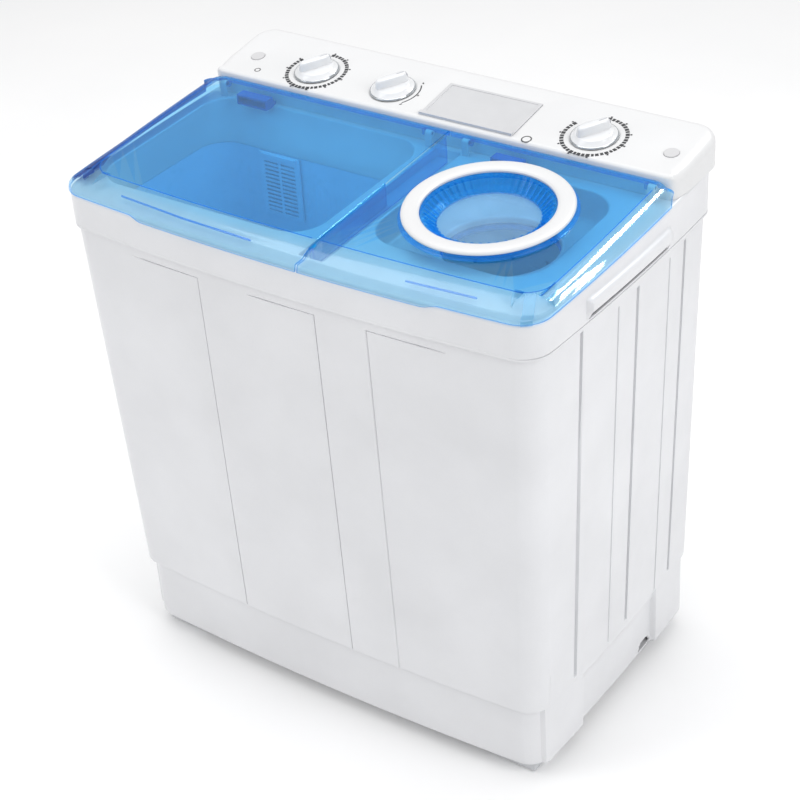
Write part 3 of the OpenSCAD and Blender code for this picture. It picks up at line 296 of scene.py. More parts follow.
def make(name, bm, mat, body, angle=35.0, solid=None, offset=-1.0, bevel=None, stands=(), fix=True, seg=2, face=None, even=False, rim=None):
    bmesh.ops.remove_doubles(bm, verts=bm.verts, dist=0.00002)
    bmesh.ops.dissolve_degenerate(bm, dist=0.00002, edges=bm.edges)
    if fix: bmesh.ops.recalc_face_normals(bm, faces=bm.faces)
    if face:
        bm.faces.ensure_lookup_table()
        at, way = Vector(face[0]), Vector(face[1])
        near = min(bm.faces, key=lambda f: (f.calc_center_median() - at).length - 0.02 * abs(f.normal.dot(way)))
        if near.normal.dot(way) < 0: bmesh.ops.reverse_faces(bm, faces=bm.faces)
    me = bpy.data.meshes.new(name)
    bm.to_mesh(me); bm.free()
    me.materials.append(M[mat])
    o = bpy.data.objects.new(name, me)
    scene.collection.objects.link(o)
    me.shade_smooth()
    me.set_sharp_from_angle(angle=radians(angle))
    if solid:
        s = o.modifiers.new("wall", "SOLIDIFY")
        s.thickness, s.offset, s.use_even_offset, s.use_quality_normals = solid * MM, offset, even, True
        if rim:
            o.data.materials.append(M[rim])
            s.material_offset_rim = 1
        bpy.context.view_layer.update()
        bake_mods(o)
        o.data.set_sharp_from_angle(angle=radians(angle))
    if bevel:
        b = o.modifiers.new("edge", "BEVEL")
        b.width, b.segments, b.limit_method, b.angle_limit = bevel * MM, seg, "ANGLE", radians(40)
        b.harden_normals = False
        bake_mods(o)
        o.data.shade_smooth()
        o.data.set_sharp_from_angle(angle=radians(angle))
    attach(o, body)
    if stands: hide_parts(*stands)
    return o
def bake_mods(o):
    dg = bpy.context.evaluated_depsgraph_get()
    me = bpy.data.meshes.new_from_object(o.evaluated_get(dg))
    old = o.data
    o.modifiers.clear()
    o.data = me
    bpy.data.meshes.remove(old)
def box_bm(bm, lo, hi, mat4=None):
    vs = [bm.verts.new(((hi if i & 1 else lo)[0] * MM, (hi if i & 2 else lo)[1] * MM, (hi if i & 4 else lo)[2] * MM)) for i in range(8)]
    for f in ((0, 2, 3, 1), (4, 5, 7, 6), (0, 1, 5, 4), (2, 6, 7, 3), (0, 4, 6, 2), (1, 3, 7, 5)):
        bm.faces.new([vs[i] for i in f])
    if mat4:
        for v in vs: v.co = mat4 @ v.co
    return vs
def lathe(bm, prof, n, mat4, mod=None):
    rings = []
    for k, (rr_, z) in enumerate(prof):
        ring = []
        for i in range(n):
            t = 2 * pi * i / n
            R, Z = (rr_, z) if mod is None else mod(k, rr_, z, t)
            ring.append(bm.verts.new(mat4 @ Vector((R * cos(t) * MM, R * sin(t) * MM, Z * MM))))
        rings.append(ring)
    for k in range(len(rings) - 1):
        for i in range(n):
            bm.faces.new((rings[k][i], rings[k][(i + 1) % n], rings[k + 1][(i + 1) % n], rings[k + 1][i]))
    return rings
def panel_m(x, y): return Matrix.Translation(Vector((x, y, zp(y))) * MM) @ Matrix.Rotation(radians(8.5), 4, "X")
LIDM = Matrix.Translation(Vector((RCX, RCY, zl(RCY))) * MM) @ Matrix.Rotation(radians(3.98), 4, "X")

# ------------------------------------------------------------ cabinet
GY = [-120.0, -34.0, 13.5, 98.0, 140.0]
GW = [7.2, 3.8, 6.8, 3.8, 6.8]
GD = [5.6, 2.4, 5.2, 2.4, 5.2]
GT = [678.0, 668.0, 672.0, 670.0, 675.5]
GB = [131.0, 127.5, 134.0, 127.5, 133.0]
def stations():
    ys = set(range(-180, 184, 12))
    for g, w in zip(GY, GW):
        ys = {y for y in ys if abs(y - g) > w / 2 + 2.2}
        ys |= {g - w / 2 - 1.2, g - w / 2, g - w / 2 + 0.7, g, g + w / 2 - 0.7, g + w / 2, g + w / 2 + 1.2}
    xs = set(range(-304, 305, 14))
    for v in (-134.8, 51.8, 129.0):
        xs = {x for x in xs if abs(x - v) > 4}
        xs |= {v - 3.0, v - 1.1, v - 0.4, v + 0.4, v + 1.1, v + 3.0}
    return sorted(ys), sorted(xs)
YS, XS = stations()
def groove(y, z, gy=0):
    d = 0.0
    for g, w, dep, zt, zb in zip(GY, GW, GD, GT, GB):
        s = 1 - smoothstep(w / 2 - 0.7, w / 2, abs(y - g))
        if s > 0: d = max(d, dep * s * smoothstep(zb, zb + 2.0, z) * (1 - smoothstep(zt - 2.0, zt, z)))
    return d
def front_step(x, z):
    t = 1 - smoothstep(669.2, 670.2, z)
    d, top, cr = 0.0, 0.0, 0.0
    for x0, x1, dep, dep_c in ((-242.6, -134.8, 1.0, 2.3), (-54.3, 51.8, 1.0, 2.3), (238.9, 129.0, 0.8, 1.4)):
        u = (x - x0) / (x1 - x0)
        if 0 < u <= 1.0: d = max(d, dep * u ** 1.5)
        # the crease along the upright edge and along the top of each panel
        cr = max(cr, dep_c * (1 - smoothstep(0.4, 1.1, abs(x - x1))))
        if 0.02 < u <= 1.0: top = max(top, 2.4 * smoothstep(0.02, 0.16, u) * (1 - smoothstep(0.4, 1.0, abs(z - 669.8))))
    return max((d + cr) * t, top)
ZL = sorted(set([BASE_T, 126.2, 127.5, 128.6, 129.5, 131, 132, 133, 134, 135, 136, 140] + list(range(180, 640, 46)) +
                [650, 660, 665, 666, 667, 668, 668.8, 669.4, 670.2, 670.8, 672, 673.5, 674.5, 675.5, 676.5, 677.3, 678, 682, 687.4, SEAM]))
def cab_ring(z, inner=False):
    t = (SEAM - z) / (SEAM - BASE_T)
    w, df = W - TAPX * t, D - TAPY * t
    if inner: w, df = w - 7.6, df - 6.5
    pts = plan(w, df, D - (5.5 if inner else 0), 29 - (2 if inner else 0), 33 - (2 if inner else 0), ys=YS, xf=XS)
    if inner: return [(p[0], p[1], z) for p in pts]
    nn = normals(pts)
    res = []
    edge = 0.9 * (smoothstep(BASE_T + 1.4, BASE_T, z) if z < BASE_T + 2 else smoothstep(SEAM - 1.6, SEAM, z)) if (z < BASE_T + 2 or z > SEAM - 2) else 0.0
    for p, n in zip(pts, nn):
        d = edge
        if abs(n[0]) > 0.9: d += groove(p[1], z)
        elif n[1] < -0.9: d += front_step(p[0], z)
        res.append((p[0] - n[0] * d, p[1] - n[1] * d, z))
    return res
bm = bmesh.new()
outer = [add_ring(bm, cab_ring(z)) for z in ZL]
inner = [add_ring(bm, cab_ring(z, True)) for z in (SEAM, 400, BASE_T)]
skin(bm, outer + inner, wrap=True)
# the service opening behind the rear cover
gone = [f for f in bm.faces if min(v.co.y for v in f.verts) > (D - 3) * MM and max(abs(v.co.x) for v in f.verts) < 0.292 and min(v.co.z for v in f.verts) > 0.15 and max(v.co.z for v in f.verts) < 0.63]
bmesh.ops.delete(bm, geom=gone, context="FACES")
make("cabinet_shell", bm, "white_plastic", "washer", 32, stands=("cabinet",))

# ------------------------------------------------------------ base
def base_outline(z, extra=0.0):
    w, df = W - TAPX - 8 - extra, D - TAPY - 8 - extra
    pts = plan(w, df, D - 8 - extra, 26, 30, ys=BYS, xf=list(range(-300, 301, 15)))
    nn = normals(pts)
    out_ = []
    for p, n in zip(pts, nn):
        d = 0.0
        if abs(n[0]) > 0.9:
            # sides stand flush with the cabinet outside the recess between the two pillars
            f = 1 - smoothstep(-96, -92, p[1]) * (1 - smoothstep(106, 110, p[1]))
            d -= 5.2 * f
            if z < 107: d += 2.2 * (1 - f) * (1 - smoothstep(100, 107, z))
        out_.append((p[0] - n[0] * d, p[1] - n[1] * d, z))
    return out_
BYS = sorted(set(list(range(-168, -100, 12)) + [-98, -96, -95, -94, -93, -92, -90] + list(range(-80, 66, 12)) + [68, 70, 73, 77, 82, 87, 92, 97, 101, 104, 106, 107, 108, 109, 110, 112] + list(range(120, 172, 12))))
bm = bmesh.new()
BZ = [BASE_B, 25.2, 28, 33, 38, 41, 60, 90, 100, 102, 104, 106, 107, 110, 118, 122.5, 124.2, BASE_T - 0.1]
rings = []
for z in BZ:
    ins = 1.0 if z in (BASE_B, BASE_T - 0.1) else (0.3 if z in (25.2, 124.2) else 0.0)
    pts = base_outline(z)
    nn = normals([(p[0], p[1]) for p in pts])
    rings.append(add_ring(bm, [(p[0] - n[0] * ins, p[1] - n[1] * ins, p[2]) for p, n in zip(pts, nn)]))
def notch_keep(v0, v1, v2, k):
    y = (v0.co.y + v1.co.y) / 2 / MM
    z = (v0.co.z + v2.co.z) / 2 / MM
    return not (abs(v0.co.x) > 0.30 and hypot(y - 87, z - 24) < 17.5)
skin(bm, rings, keep=notch_keep)
lo_ring, hi_ring = rings[0], rings[-1]
in_top = add_ring(bm, at_z(plan(W - TAPX - 14, D - TAPY - 14, D - 14, 24, 28, ys=BYS, xf=list(range(-300, 301, 15))), BASE_T - 0.1))
skin(bm, [hi_ring, in_top])
box_hole = add_ring(bm, at_z(rrect(-285, -55, -150, 140, 12, 12, 6, ys=[0], xf=[-170], xr=[-170]), BASE_B))
round_hole = add_ring(bm, [(190 + 50 * cos(radians(t)), -22 + 50 * sin(radians(t)), BASE_B) for t in range(0, 360, 5)])
fill(bm, [rings[0], box_hole, round_hole])
make("base_shell", bm, "white_plastic", "washer", 35, solid=2.4, stands=("base",), face=((0, -0.2, 0.06), (0, -1, 0)))

# ------------------------------------------------------------ top deck
DYS = sorted(set([-180, -165, -150, -138, -128, -122, -118, -116, -114, -110, -104, -96, -84, -68, -50, -30, -10, 10, 30, 46, 60, 68, 74, 80, 82, 84, 87, 92, 98, 108, 120, 136, 152, 168, 182]))
DXF = list(range(-322, 323, 14))
def deck_pts(off=0.0): return plan(W + 4.5 - off, D + 4.5 - off, D + 4.5 - off, 33 - min(off, 8), 36 - min(off, 8), ys=DYS, xf=DXF)
LIPZ = [(686, 0), (688.4, 0), (688.7, -1.7), (689.9, -1.7), (690.2, 0), (692.3, 0), (704.4, 6.4), (705.6, 7.7), (708.2, 8.0), (712.5, 8.0), (716.6, 7.6), (719.2, 6.4), (721.0, 4.0), (722.2, 1.6), (723.6, 0.4), (727, 0)]
def lip(y): return smoothstep(-117.6, -114.4, y) * (1 - smoothstep(80, 87, y))
bm = bmesh.new()
rings = []
for z, out_ in LIPZ:
    ring = []
    for (x, y) in deck_pts():
        s_ = lip(y) if abs(x) > 350 else 0.0
        k = out_ * s_ if out_ > 0 else out_
        ring.append((x + (k if x > 0 else -k), y, z + (0.0 if z < 700 else 0.0)))
    rings.append(add_ring(bm, ring))
for off, dz in ((0, -6), (0, -4), (0.3, -2.5), (1.2, -1.2), (2.5, -0.3), (4, 0), (5.5, 0)):
    rings.append(add_ring(bm, at_z(deck_pts(off), lambda y, dz=dz: zd(y) + dz)))
def deck_keep(v0, v1, v2, k):
    y0, y1 = v0.co.y / MM, v1.co.y / MM
    return not (k == 5 and abs(v0.co.x) > 0.35 and -114.5 < min(y0, y1) and max(y0, y1) < 82.5)
skin(bm, rings, keep=deck_keep)
def hole_down(pts, steps, nk=1.0):
    """Rings of one hole: outset and drop from the ledge plane."""
    return [add_ring(bm, at_z(inset(pts, -o), lambda y, d=d: zd(y) + d)) for o, d in steps]
mouth = rrect(-350, 2, -175, 96, 45, 45, 9, ys=lin(-130, 51, 9), xf=lin(-305, -43, 9), xr=lin(-305, -43, 9))
rim = rrect(-345, -12, -163, 72, 43, 43, 9, ys=lin(-120, 29, 9), xf=lin(-302, -55, 9), xr=lin(-302, -55, 9))
mr = hole_down(mouth, [(3.4, 0), (2.5, 0), (1.25, -0.33), (0.33, -1.25), (0, -2.5)])
for t in (0.35, 0.75):
    mr.append(add_ring(bm, [(p[0] * (1 - t) + q[0] * t, p[1] * (1 - t) + q[1] * t, (zd(p[1]) - 2.5) * (1 - t) + 689.5 * t) for p, q in zip(mouth, rim)]))
mr.append(add_ring(bm, at_z(rim, 689.5)))
mr.append(add_ring(bm, at_z(inset(rim, 0.0), 688.2)))
skin(bm, mr)
well = rrect(62, 305, -141, 84, 50, 50, 9, ys=lin(-91, 34, 6), xf=lin(112, 255, 6), xr=lin(112, 255, 6))
wr = hole_down(well, [(3.9, 0), (3, 0), (1.5, -0.4), (0.4, -1.5), (0, -3)])
for t in (0, 25, 45, 65, 90):
    wr.append(add_ring(bm, at_z(inset(well, 7 * (1 - cos(radians(t)))), 700 + 7 * (1 - sin(radians(t))))))
skin(bm, wr)
NM = 96
def circ(cx, cy, rr_, z, n=NM): return [(cx + rr_ * cos(2 * pi * i / n), cy + rr_ * sin(2 * pi * i / n), z) for i in range(n)]
cm = [add_ring(bm, circ(BX, BY, rr_, z)) for rr_, z in ((80.5, 700), (79.5, 700), (77.6, 699.4), (76.4, 698.2), (76, 696.5), (76, 691))]
skin(bm, cm)
drains = []
for t in (-130, -108, -82, -60, -35, -10):
    cx, cy = BX + 92 * cos(radians(t)), BY + 92 * sin(radians(t))
    dr_ = [add_ring(bm, circ(cx, cy, rr_, z, 16)) for rr_, z in ((3.6, 700), (3.0, 699.8), (2.3, 699.0), (2.2, 698.0))]
    skin(bm, dr_)
    drains.append(dr_[0])
fill(bm, [wr[-1], cm[0]] + drains)
chan = rrect(19, 57, -212, 95, 4, 4, 4, ys=lin(-208, 91, 8), xf=[38], xr=[38])
ch = hole_down(chan, [(2.2, 0), (1.4, 0), (0.4, -0.4), (0, -1.4), (0, -11.5), (-0.5, -12.6), (-1.6, -13)])
skin(bm, ch)
fill(bm, [ch[-1]])
# openings under the console for the timers, the selector's rod and the brake wire
under = []
for x0, x1, y0, y1 in ((-262, -178, 124, 186), (188, 272, 124, 186), (-112, -62, 118, 184), (318, 332, 150, 164)):
    under.append(add_ring(bm, at_z(rrect(x0, x1, y0, y1, 2, 2, 3, ys=[(y0 + y1) / 2], xf=[(x0 + x1) / 2], xr=[(x0 + x1) / 2]), zd)))
fill(bm, [rings[-1], mr[0], wr[0], ch[0]] + under)
make("deck_shell", bm, "white_plastic", "washer", 38, solid=2.3, stands=("top_deck",), face=((0.2, -0.20, 0.737), (0, 0, 1)))
# hinge bosses on slim posts
bm = bmesh.new()
for x in (-340, 8, 66, 340):
    prof = [(HY - 4.3, zd(HY) - 2), (HY - 2.0, zd(HY) - 2), (HY - 2.0, HZ - 3.81)] + [(HY + 4.3 * cos(radians(t)), HZ + 4.3 * sin(radians(t))) for t in range(-110, 171, 20)] + [(HY - 4.3, HZ)]
    A = [bm.verts.new(((x - 5) * MM, y * MM, z * MM)) for y, z in prof]
    B = [bm.verts.new(((x + 5) * MM, y * MM, z * MM)) for y, z in prof]
    inn = []
    for xx in (x - 5, x + 5):
        inn.append([bm.verts.new((xx * MM, (HY + 2.55 * cos(radians(t))) * MM, (HZ + 2.55 * sin(radians(t))) * MM)) for t in range(0, 360, 20)])
    skin(bm, [A, B])
    skin(bm, [inn[1], inn[0]])
    fill(bm, [A, inn[0]]); fill(bm, [B, inn[1]])
make("hinge_bosses", bm, "white_plastic", "washer", 35, bevel=0.4)

# ------------------------------------------------------------ wash tub
XB = sorted(set([-302 + 247 * i / 57 for i in range(1, 57)] + [-262, -202]))
XB = [x for x in XB if x in (-262, -202) or min(abs(x + 262), abs(x + 202)) > 1.5]
TYS = lin(-120, 29, 9)
def tub_ring(t, z, grow=0.0, ins=0.0):
    """t runs from 0 at the rim to 1 at the floor."""
    o = 7 * t + ins
    pts = rrect(-345 + o, -12 - o, -163 + o, 72 - o + 2 * t, 43 - 2 * t - 0.5 * ins, 43 - 2 * t - 0.5 * ins, 9, ys=TYS, xf=lin(-302, -55, 12), xr=XB)
    nn = normals(pts)
    res = []
    for p, n in zip(pts, nn):
        d = 0.0
        if n[1] > 0.95 and 350 < z < 672:
            f = smoothstep(352, 372, z) * (1 - smoothstep(650, 670, z))
            gap = 1 - smoothstep(-274, -268, p[0]) * (1 - smoothstep(-196, -190, p[0]))
            d = 1.7 * f * gap * (0.5 - 0.5 * cos(2 * pi * (p[0] + 262) / 17.3))
        res.append((p[0] - n[0] * d, p[1] - n[1] * d, z))
    return res
bm = bmesh.new()
tz = [687.6, 684, 682, 672, 664, 656, 648, 620, 598, 560, 500, 440, 400, 380, 372, 362, 354]
rs_ = [add_ring(bm, tub_ring((687.6 - z) / 357.6, z)) for z in tz]
for t in (0, 20, 40, 60, 80, 90):
    rs_.append(add_ring(bm, tub_ring((687.6 - 346) / 357.6, 333 + 13 * (1 - sin(radians(t))), 0, 13 * (1 - cos(radians(t))))))
skin(bm, rs_, keep=lambda v0, v1, v2, k: not (2 <= k < 8 and v0.co.y > 0.055 and -0.2622 < min(v0.co.x, v1.co.x) and max(v0.co.x, v1.co.x) < -0.2018))
pc = [add_ring(bm, circ(PX, PY, rr_, z)) for rr_, z in ((106, 333), (104.5, 333), (102.2, 332.3), (101, 330.5), (101, 311), (99.8, 308.2), (97, 307))]
sh = add_ring(bm, circ(PX, PY, 16.2, 307, 32))
skin(bm, pc); fill(bm, [pc[-1], sh])
su = [add_ring(bm, circ(-60, 36, rr_, z, 32)) for rr_, z in ((15.5, 333), (14, 332.5), (13, 331), (13, 318))]
skin(bm, su)
fill(bm, [rs_[-1], pc[0], su[0]])
make("wash_tub_shell", bm, "tub_plastic", "washer", 40, solid=2.4, stands=("wash_tub",), face=((-0.2, -0.12, 0.333), (0, 0, 1)))

# ------------------------------------------------------------ lids
LW, LF = 366.5, 226.0
PROF = [(0, 0, 0, 0.5), (0.1, 0.3, 0, 3.0), (0.6, 1.2, 0, 6.0), (1.9, 4.2, 0.25, None), (4.2, 8.8, 0.62, None), (7, 14, 1, -8), (10.3, 20.8, 1, -4.7), (14, 28, 1, -2.5), (18.5, 36.5, 1, -1.0), (22.4, 43.8, 1, -0.12), (23.6, 46.2, 1, 0.0), (25.2, 48.6, 1, 0.0)]
LXF = sorted(set(list(range(-322, 323, 14)) + [-240, -234, -228, -222, -216, 217, 223, 229, 235, 240]))
LYS = [-178, -160, -140, -118, -95, -70, -45, -20, 5, 30, 52, 68, 78, 85, 86.5]
def lid_ring(k):
    sx, sy, w_, o = PROF[k]
    pts = [bow(p) for p in rrect(-LW + sx, LW - sx, -LF + sy, 102 - (0.5 if k > 6 else 0) - (3 if k > 8 else 0), 34 - 0.1 * sx, 14 - 0.1 * sx, 8, ys=LYS, xf=LXF, xr=lin(-350, 350, 24))]
    res = []
    for x, y in pts:
        lo, hi = zd(y) + 0.0062 * (y + 240), zl(y)
        if w_ == 0: z = lo + o
        elif w_ == 1: z = hi + o
        else: z = (lo + 6) * (1 - w_) + (hi - 8) * w_
        if k <= 2 and y < -150:
            s_ = smoothstep(-238, -216, x) * (1 - smoothstep(216.5, 238.5, x))
            z -= 4.6 * s_ * (1 - 0.45 * k)
            y -= 2.2 * s_ * (1 - 0.35 * k)
        if y > 87.5: z = max(z, HZ + 0.02 * k)
        res.append((x, y, z))
    return res
def lid_sheet(side):
    b = bmesh.new()
    rs = [add_ring(b, lid_ring(k)) for k in range(len(PROF))]
    skin(b, rs)
    if side > 0:
        NL = 108
        def lc(rr_, z): return [b.verts.new(LIDM @ Vector((rr_ * cos(2 * pi * i / NL) * MM, rr_ * sin(2 * pi * i / NL) * MM, z * MM))) for i in range(NL)]
        cs = [lc(rr_, z) for rr_, z in ((112.4, 0), (111.4, 0), (110.2, 0.4), (109.5, 1.2), (109.3, 2.4), (109.3, 4.3), (108.6, 5.0), (86, 5.0), (84.9, 4.4), (84.85, -2.6))]
        for k in range(len(cs) - 1):
            for i in range(NL): b.faces.new((cs[k][i], cs[k][(i + 1) % NL], cs[k + 1][(i + 1) % NL], cs[k + 1][i]))
        fill(b, [rs[-1], cs[0]])
    else:
        fill(b, [rs[-1]])
    cutx = (SPLIT + 1.5 if side > 0 else SPLIT - 1.5) * MM
    near = [f for f in b.faces if abs(f.calc_center_median().x - cutx) < 0.021]
    near = list({v for f in near for v in f.verts}) + list({ed for f in near for ed in f.edges}) + near
    bmesh.ops.bisect_plane(b, geom=near, plane_co=(0, -0.208, 0), plane_no=(0, 1, 0), dist=1e-6)
    bmesh.ops.bisect_plane(b, geom=b.verts[:] + b.edges[:] + b.faces[:], plane_co=(cutx, 0, 0), plane_no=(1, 0, 0), dist=1e-6, clear_inner=side > 0, clear_outer=side < 0)
    # the middle skirt hangs from the cut edge
    edge = [v for v in b.verts if abs(v.co.x - cutx) < 2e-6 and -0.2081 < v.co.y < 0.0871]
    low = {}
    eds = [ed for ed in b.edges if ed.verts[0] in edge and ed.verts[1] in edge and abs(ed.verts[0].co.y - ed.verts[1].co.y) > 1e-7]
    for v in {v for ed in eds for v in ed.verts}:
        y = v.co.y / MM
        low[v] = [b.verts.new((cutx, v.co.y, (v.co.z * (1 - t) + (zd(y) - 12.3) * MM * t))) for t in (0.04, 0.5, 1.0)]
    for ed in eds:
        p, q = ed.verts
        ch_ = [(p, q)] + [(low[p][j], low[q][j]) for j in range(3)]
        for (a0, a1), (b0, b1) in zip(ch_, ch_[1:]):
            b.faces.new((a0, a1, b1, b0))
    return b
def tinted_zones(o):
    """Colour zones on a lid: the porthole boss wall takes the darker edge blue; the lower front and side skirts are
    paler, a painted sheen standing in for the highlights on those slopes; the far left side is darker, a painted
    reflection of the dark surroundings; the middle skirt and the rear wall take a more saturated blue, on the middle
    skirt painted light over the shade in the channel.
    """
    for k in ("blue_pale", "blue_side", "blue_skirt"): o.data.materials.append(M[k])
    for f in o.data.polygons:
        if f.material_index: continue
        x, y, z = (c / MM for c in f.center)
        d = zl(y) - z
        rr_ = hypot(x - RCX, (y - RCY))
        if 108.0 < rr_ < 113.2 and d < 0.6 and x > SPLIT: f.material_index = 1
        # painted light: the middle skirt by the cut edge gets a bright saturated blue in place of the shade in the
        # channel; the rear wall takes the same blue
        elif abs(x - SPLIT) < 3.5 and y > -208 and d > 1.2: f.material_index = 4
        elif y > 97.5 and d > 0.6: f.material_index = 4
        # painted sheen on the lower front and side skirts (paler blue), and a painted dark reflection on the far left
        # side
        elif z < zl(y) - 0.10 and (y < -150 or abs(x) > 335) and y < 97:
            f.material_index = 3 if (x < -340 and y > -196 and d < 24) else 2
    return o
tinted_zones(make("wash_lid_shell", lid_sheet(-1), "blue_translucent", "wash_lid", 30, solid=2.4, stands=("wash_lid",), face=((-0.2, -0.05, 0.762), (0, 0, 1)), rim="blue_edge"))
tinted_zones(make("spin_lid_shell", lid_sheet(1), "blue_translucent", "spin_lid", 30, solid=2.4, stands=("spin_lid",), face=((0.33, -0.05, 0.762), (0, 0, 1)), rim="blue_edge"))
# crease line of both lids: a low ridge moulded along the edge of the flat top
for body, s0 in (("wash_lid", -1), ("spin_lid", 1)):
    bm = bmesh.new()
    n_arc = 9
    ringA = lid_ring(9)
    ringB = lid_ring(10)
    cols = []
    lim = SPLIT + s0 * 1.7
    for (xa, ya, za), (xb, yb, zb) in zip(ringA, ringB):
        if (xa - lim) * s0 < 0 or ya > 84: continue
        cols.append(((xa, ya, za), (xb, yb, zb)))
    # order along the outline: the front run is the end of the list, the right side its start
    if s0 > 0:
        k0 = next(i for i, c in enumerate(cols) if c[0][0] < 330 and c[0][1] < -150 and i > n_arc) if any(c[0][0] < 330 and c[0][1] < -150 and i > n_arc for i, c in enumerate(cols)) else len(cols)
        cols = cols[k0:] + cols[:k0]
    strip = []
    for (xa, ya, za), (xb, yb, zb) in cols:
        mx_, my_ = (xa + xb) / 2, (ya + yb) / 2
        l = hypot(xb - xa, yb - ya) or 1
        ux, uy = (xb - xa) / l * 0.55, (yb - ya) / l * 0.55
        z0 = zl(my_)
        strip.append([bm.verts.new(((mx_ + ux * q) * MM, (my_ + uy * q) * MM, (z0 + h_) * MM)) for q, h_ in ((-1, -0.35), (-0.6, 0.28), (0.6, 0.30), (1, -0.20))])
    for A, B in zip(strip, strip[1:]):
        for q in range(4): bm.faces.new((A[q], A[(q + 1) % 4], B[(q + 1) % 4], B[q]))
    bm.faces.new(strip[0]); bm.faces.new(list(reversed(strip[-1])))
    make(body + "_crease", bm, "blue_edge", body, 40)
# clip tab at the front right corner
bm = bmesh.new()
tab = []
for k in range(0, 10):
    ring = lid_ring(k)
    c_ = ring[3]
    tab.append([bm.verts.new(((x + (0.5 if k < 6 else 0.2)) * MM, (y - (0.7 if k < 6 else 0.2)) * MM, (z + (0.0 if k < 3 else 0.5)) * MM)) for x, y, z in (ring[2], ring[3], ring[4])])
for A, B in zip(tab, tab[1:]):
    for q in range(2): bm.faces.new((A[q], A[q + 1], B[q + 1], B[q]))
make("corner_tab", bm, "blue_pale", "spin_lid", 40, solid=0.9, offset=1.0, face=((0.35, -0.22, 0.745), (0.5, -0.8, 0.3)), rim="blue_edge")

for body, xs, dirs in (("wash_lid", (-332, 0), (-1, 1)), ("spin_lid", (74, 332), (-1, 1))):
    bm = bmesh.new()
    for x, dd in zip(xs, dirs):
        prof = [(HY + 4.4 * cos(radians(t)), HZ + 4.4 * sin(radians(t))) for t in range(180, 361, 18)] + [(HY + 4.4, zl(HY + 4.4) - 2.5), (HY - 4.4, zl(HY - 4.4) - 2.5)]
        A = [bm.verts.new(((x - 1.5) * MM, y * MM, z * MM)) for y, z in prof]
        B = [bm.verts.new(((x + 1.5) * MM, y * MM, z * MM)) for y, z in prof]
        skin(bm, [A, B]); cap(bm, A, True); cap(bm, B)
    make(body + "_arms", bm, "blue_deep", body, 35, bevel=0.35)
def fin(bm, p, q, z0, z1, t):
    dx, dy = q[0] - p[0], q[1] - p[1]
    l = hypot(dx, dy); nx, ny = -dy / l * t / 2, dx / l * t / 2
    lo = [(p[0] - nx, p[1] - ny), (q[0] - nx, q[1] - ny), (q[0] + nx, q[1] + ny), (p[0] + nx, p[1] + ny)]
    A = [bm.verts.new((x * MM, y * MM, z0 * MM)) for x, y in lo]
    B = [bm.verts.new((x * MM, y * MM, z1 * MM)) for x, y in lo]
    skin(bm, [A, B]); cap(bm, A, True); cap(bm, B)
for body, runs in (("wash_lid", [((-271, -207.5), (-160, -217)), ((-160, -217), (-47, -221))]), ("spin_lid", [((178.5, -211.5), (274.5, -204.5))])):
    bm = bmesh.new()
    for p, q in runs: fin(bm, p, q, 741.0, 743.4, 1.6)
    make(body + "_front_rib", bm, "blue_edge", body, 35, bevel=0.3)

# porthole ring and ribbed cone
bm = bmesh.new()
lathe(bm, [(85.2, 5.1), (107.4, 5.1), (108.2, 5.7), (108.3, 6.9), (107.4, 8.4), (105.4, 9.7), (102.4, 10.4), (98, 10.7), (93, 10.5), (89, 9.9), (86.4, 8.8), (85.2, 7.4), (85.2, 5.1)], 144, LIDM)
make("porthole_ring_shell", bm, "panel_plastic", "spin_lid", 40, stands=("porthole_ring",))
def ribs(k, rr_, z, t):
    if 3 <= k <= 6:
        q = (t * 48 / (2 * pi)) % 1.0
        w_ = smoothstep(0.12, 0.26, q) * (1 - smoothstep(0.50, 0.64, q))
        return rr_ - 3.2 * w_, z + 1.6 * w_
    return rr_, z
bm = bmesh.new()
lathe(bm, [(84.7, -12), (84.7, 4.8), (83.2, 5.3), (81.6, 3.6), (77.5, -0.6), (72.5, -5.8), (67.5, -10.4), (66.4, -11.2), (65.6, -12.2), (65.6, -14.6), (68, -14.6), (76, -8.6), (81.5, -12), (84.7, -12)], 384, LIDM, ribs)
make("porthole_cone_shell", bm, "blue_cone", "spin_lid", 28, stands=("porthole_cone",))
bm = bmesh.new()
rr3 = lathe(bm, [(0.6, -15.2), (40, -15.2), (63, -14.9), (65.4, -14.3), (65.4, -12.4), (64.6, -12.0), (56, -12.5), (30, -12.9), (0.6, -13.05)], 144, LIDM)
cap(bm, rr3[0]); cap(bm, rr3[-1])
make("porthole_dish", bm, "milky_clear", "spin_lid", 30)

# ------------------------------------------------------------ console
half = [(x, 104.6) for x in list(range(14, 351, 14))] + [(354, 104.7), (358.4, 105.4), (361.8, 107.4), (364.2, 110.4), (365.6, 114.4), (366.7, 121), (367.9, 129.5), (369, 138.6)] + [(369, y) for y in (150, 162, 174, 186)]
half += arc(336, 199, 33, 0, 90, 12) + [(x, 232) for x in range(322, 13, -22)]
cpts = [(0, 104.6)] + half + [(0, 232)] + [(-x, y) for x, y in reversed(half)]
bm = bmesh.new()
nn = normals(cpts)
RR = [4.5 + 9.5 * smoothstep(-0.96, -0.1, n[1]) for n in nn]
rs_ = [add_ring(bm, [(p[0], p[1], zd(p[1]) + 0.4) for p in cpts]), add_ring(bm, [(p[0], p[1], (zd(p[1]) + zp(p[1]) - 14) / 2) for p in cpts])]
for t in (0, 15, 30, 45, 60, 75, 90):
    rs_.append(add_ring(bm, [(p[0] - n[0] * R * (1 - cos(radians(t))), p[1] - n[1] * R * (1 - cos(radians(t))), zp(p[1] - n[1] * R * (1 - cos(radians(t)))) - R * (1 - sin(radians(t)))) for p, n, R in zip(cpts, nn, RR)]))
rs_.append(add_ring(bm, [(p[0] - n[0] * (R + 1.2), p[1] - n[1] * (R + 1.2), zp(p[1] - n[1] * (R + 1.2))) for p, n, R in zip(cpts, nn, RR)]))
skin(bm, rs_)
loops = [rs_[-1]]
def on_panel(M4, pts): return [bm.verts.new(M4 @ (Vector(p) * MM)) for p in pts]
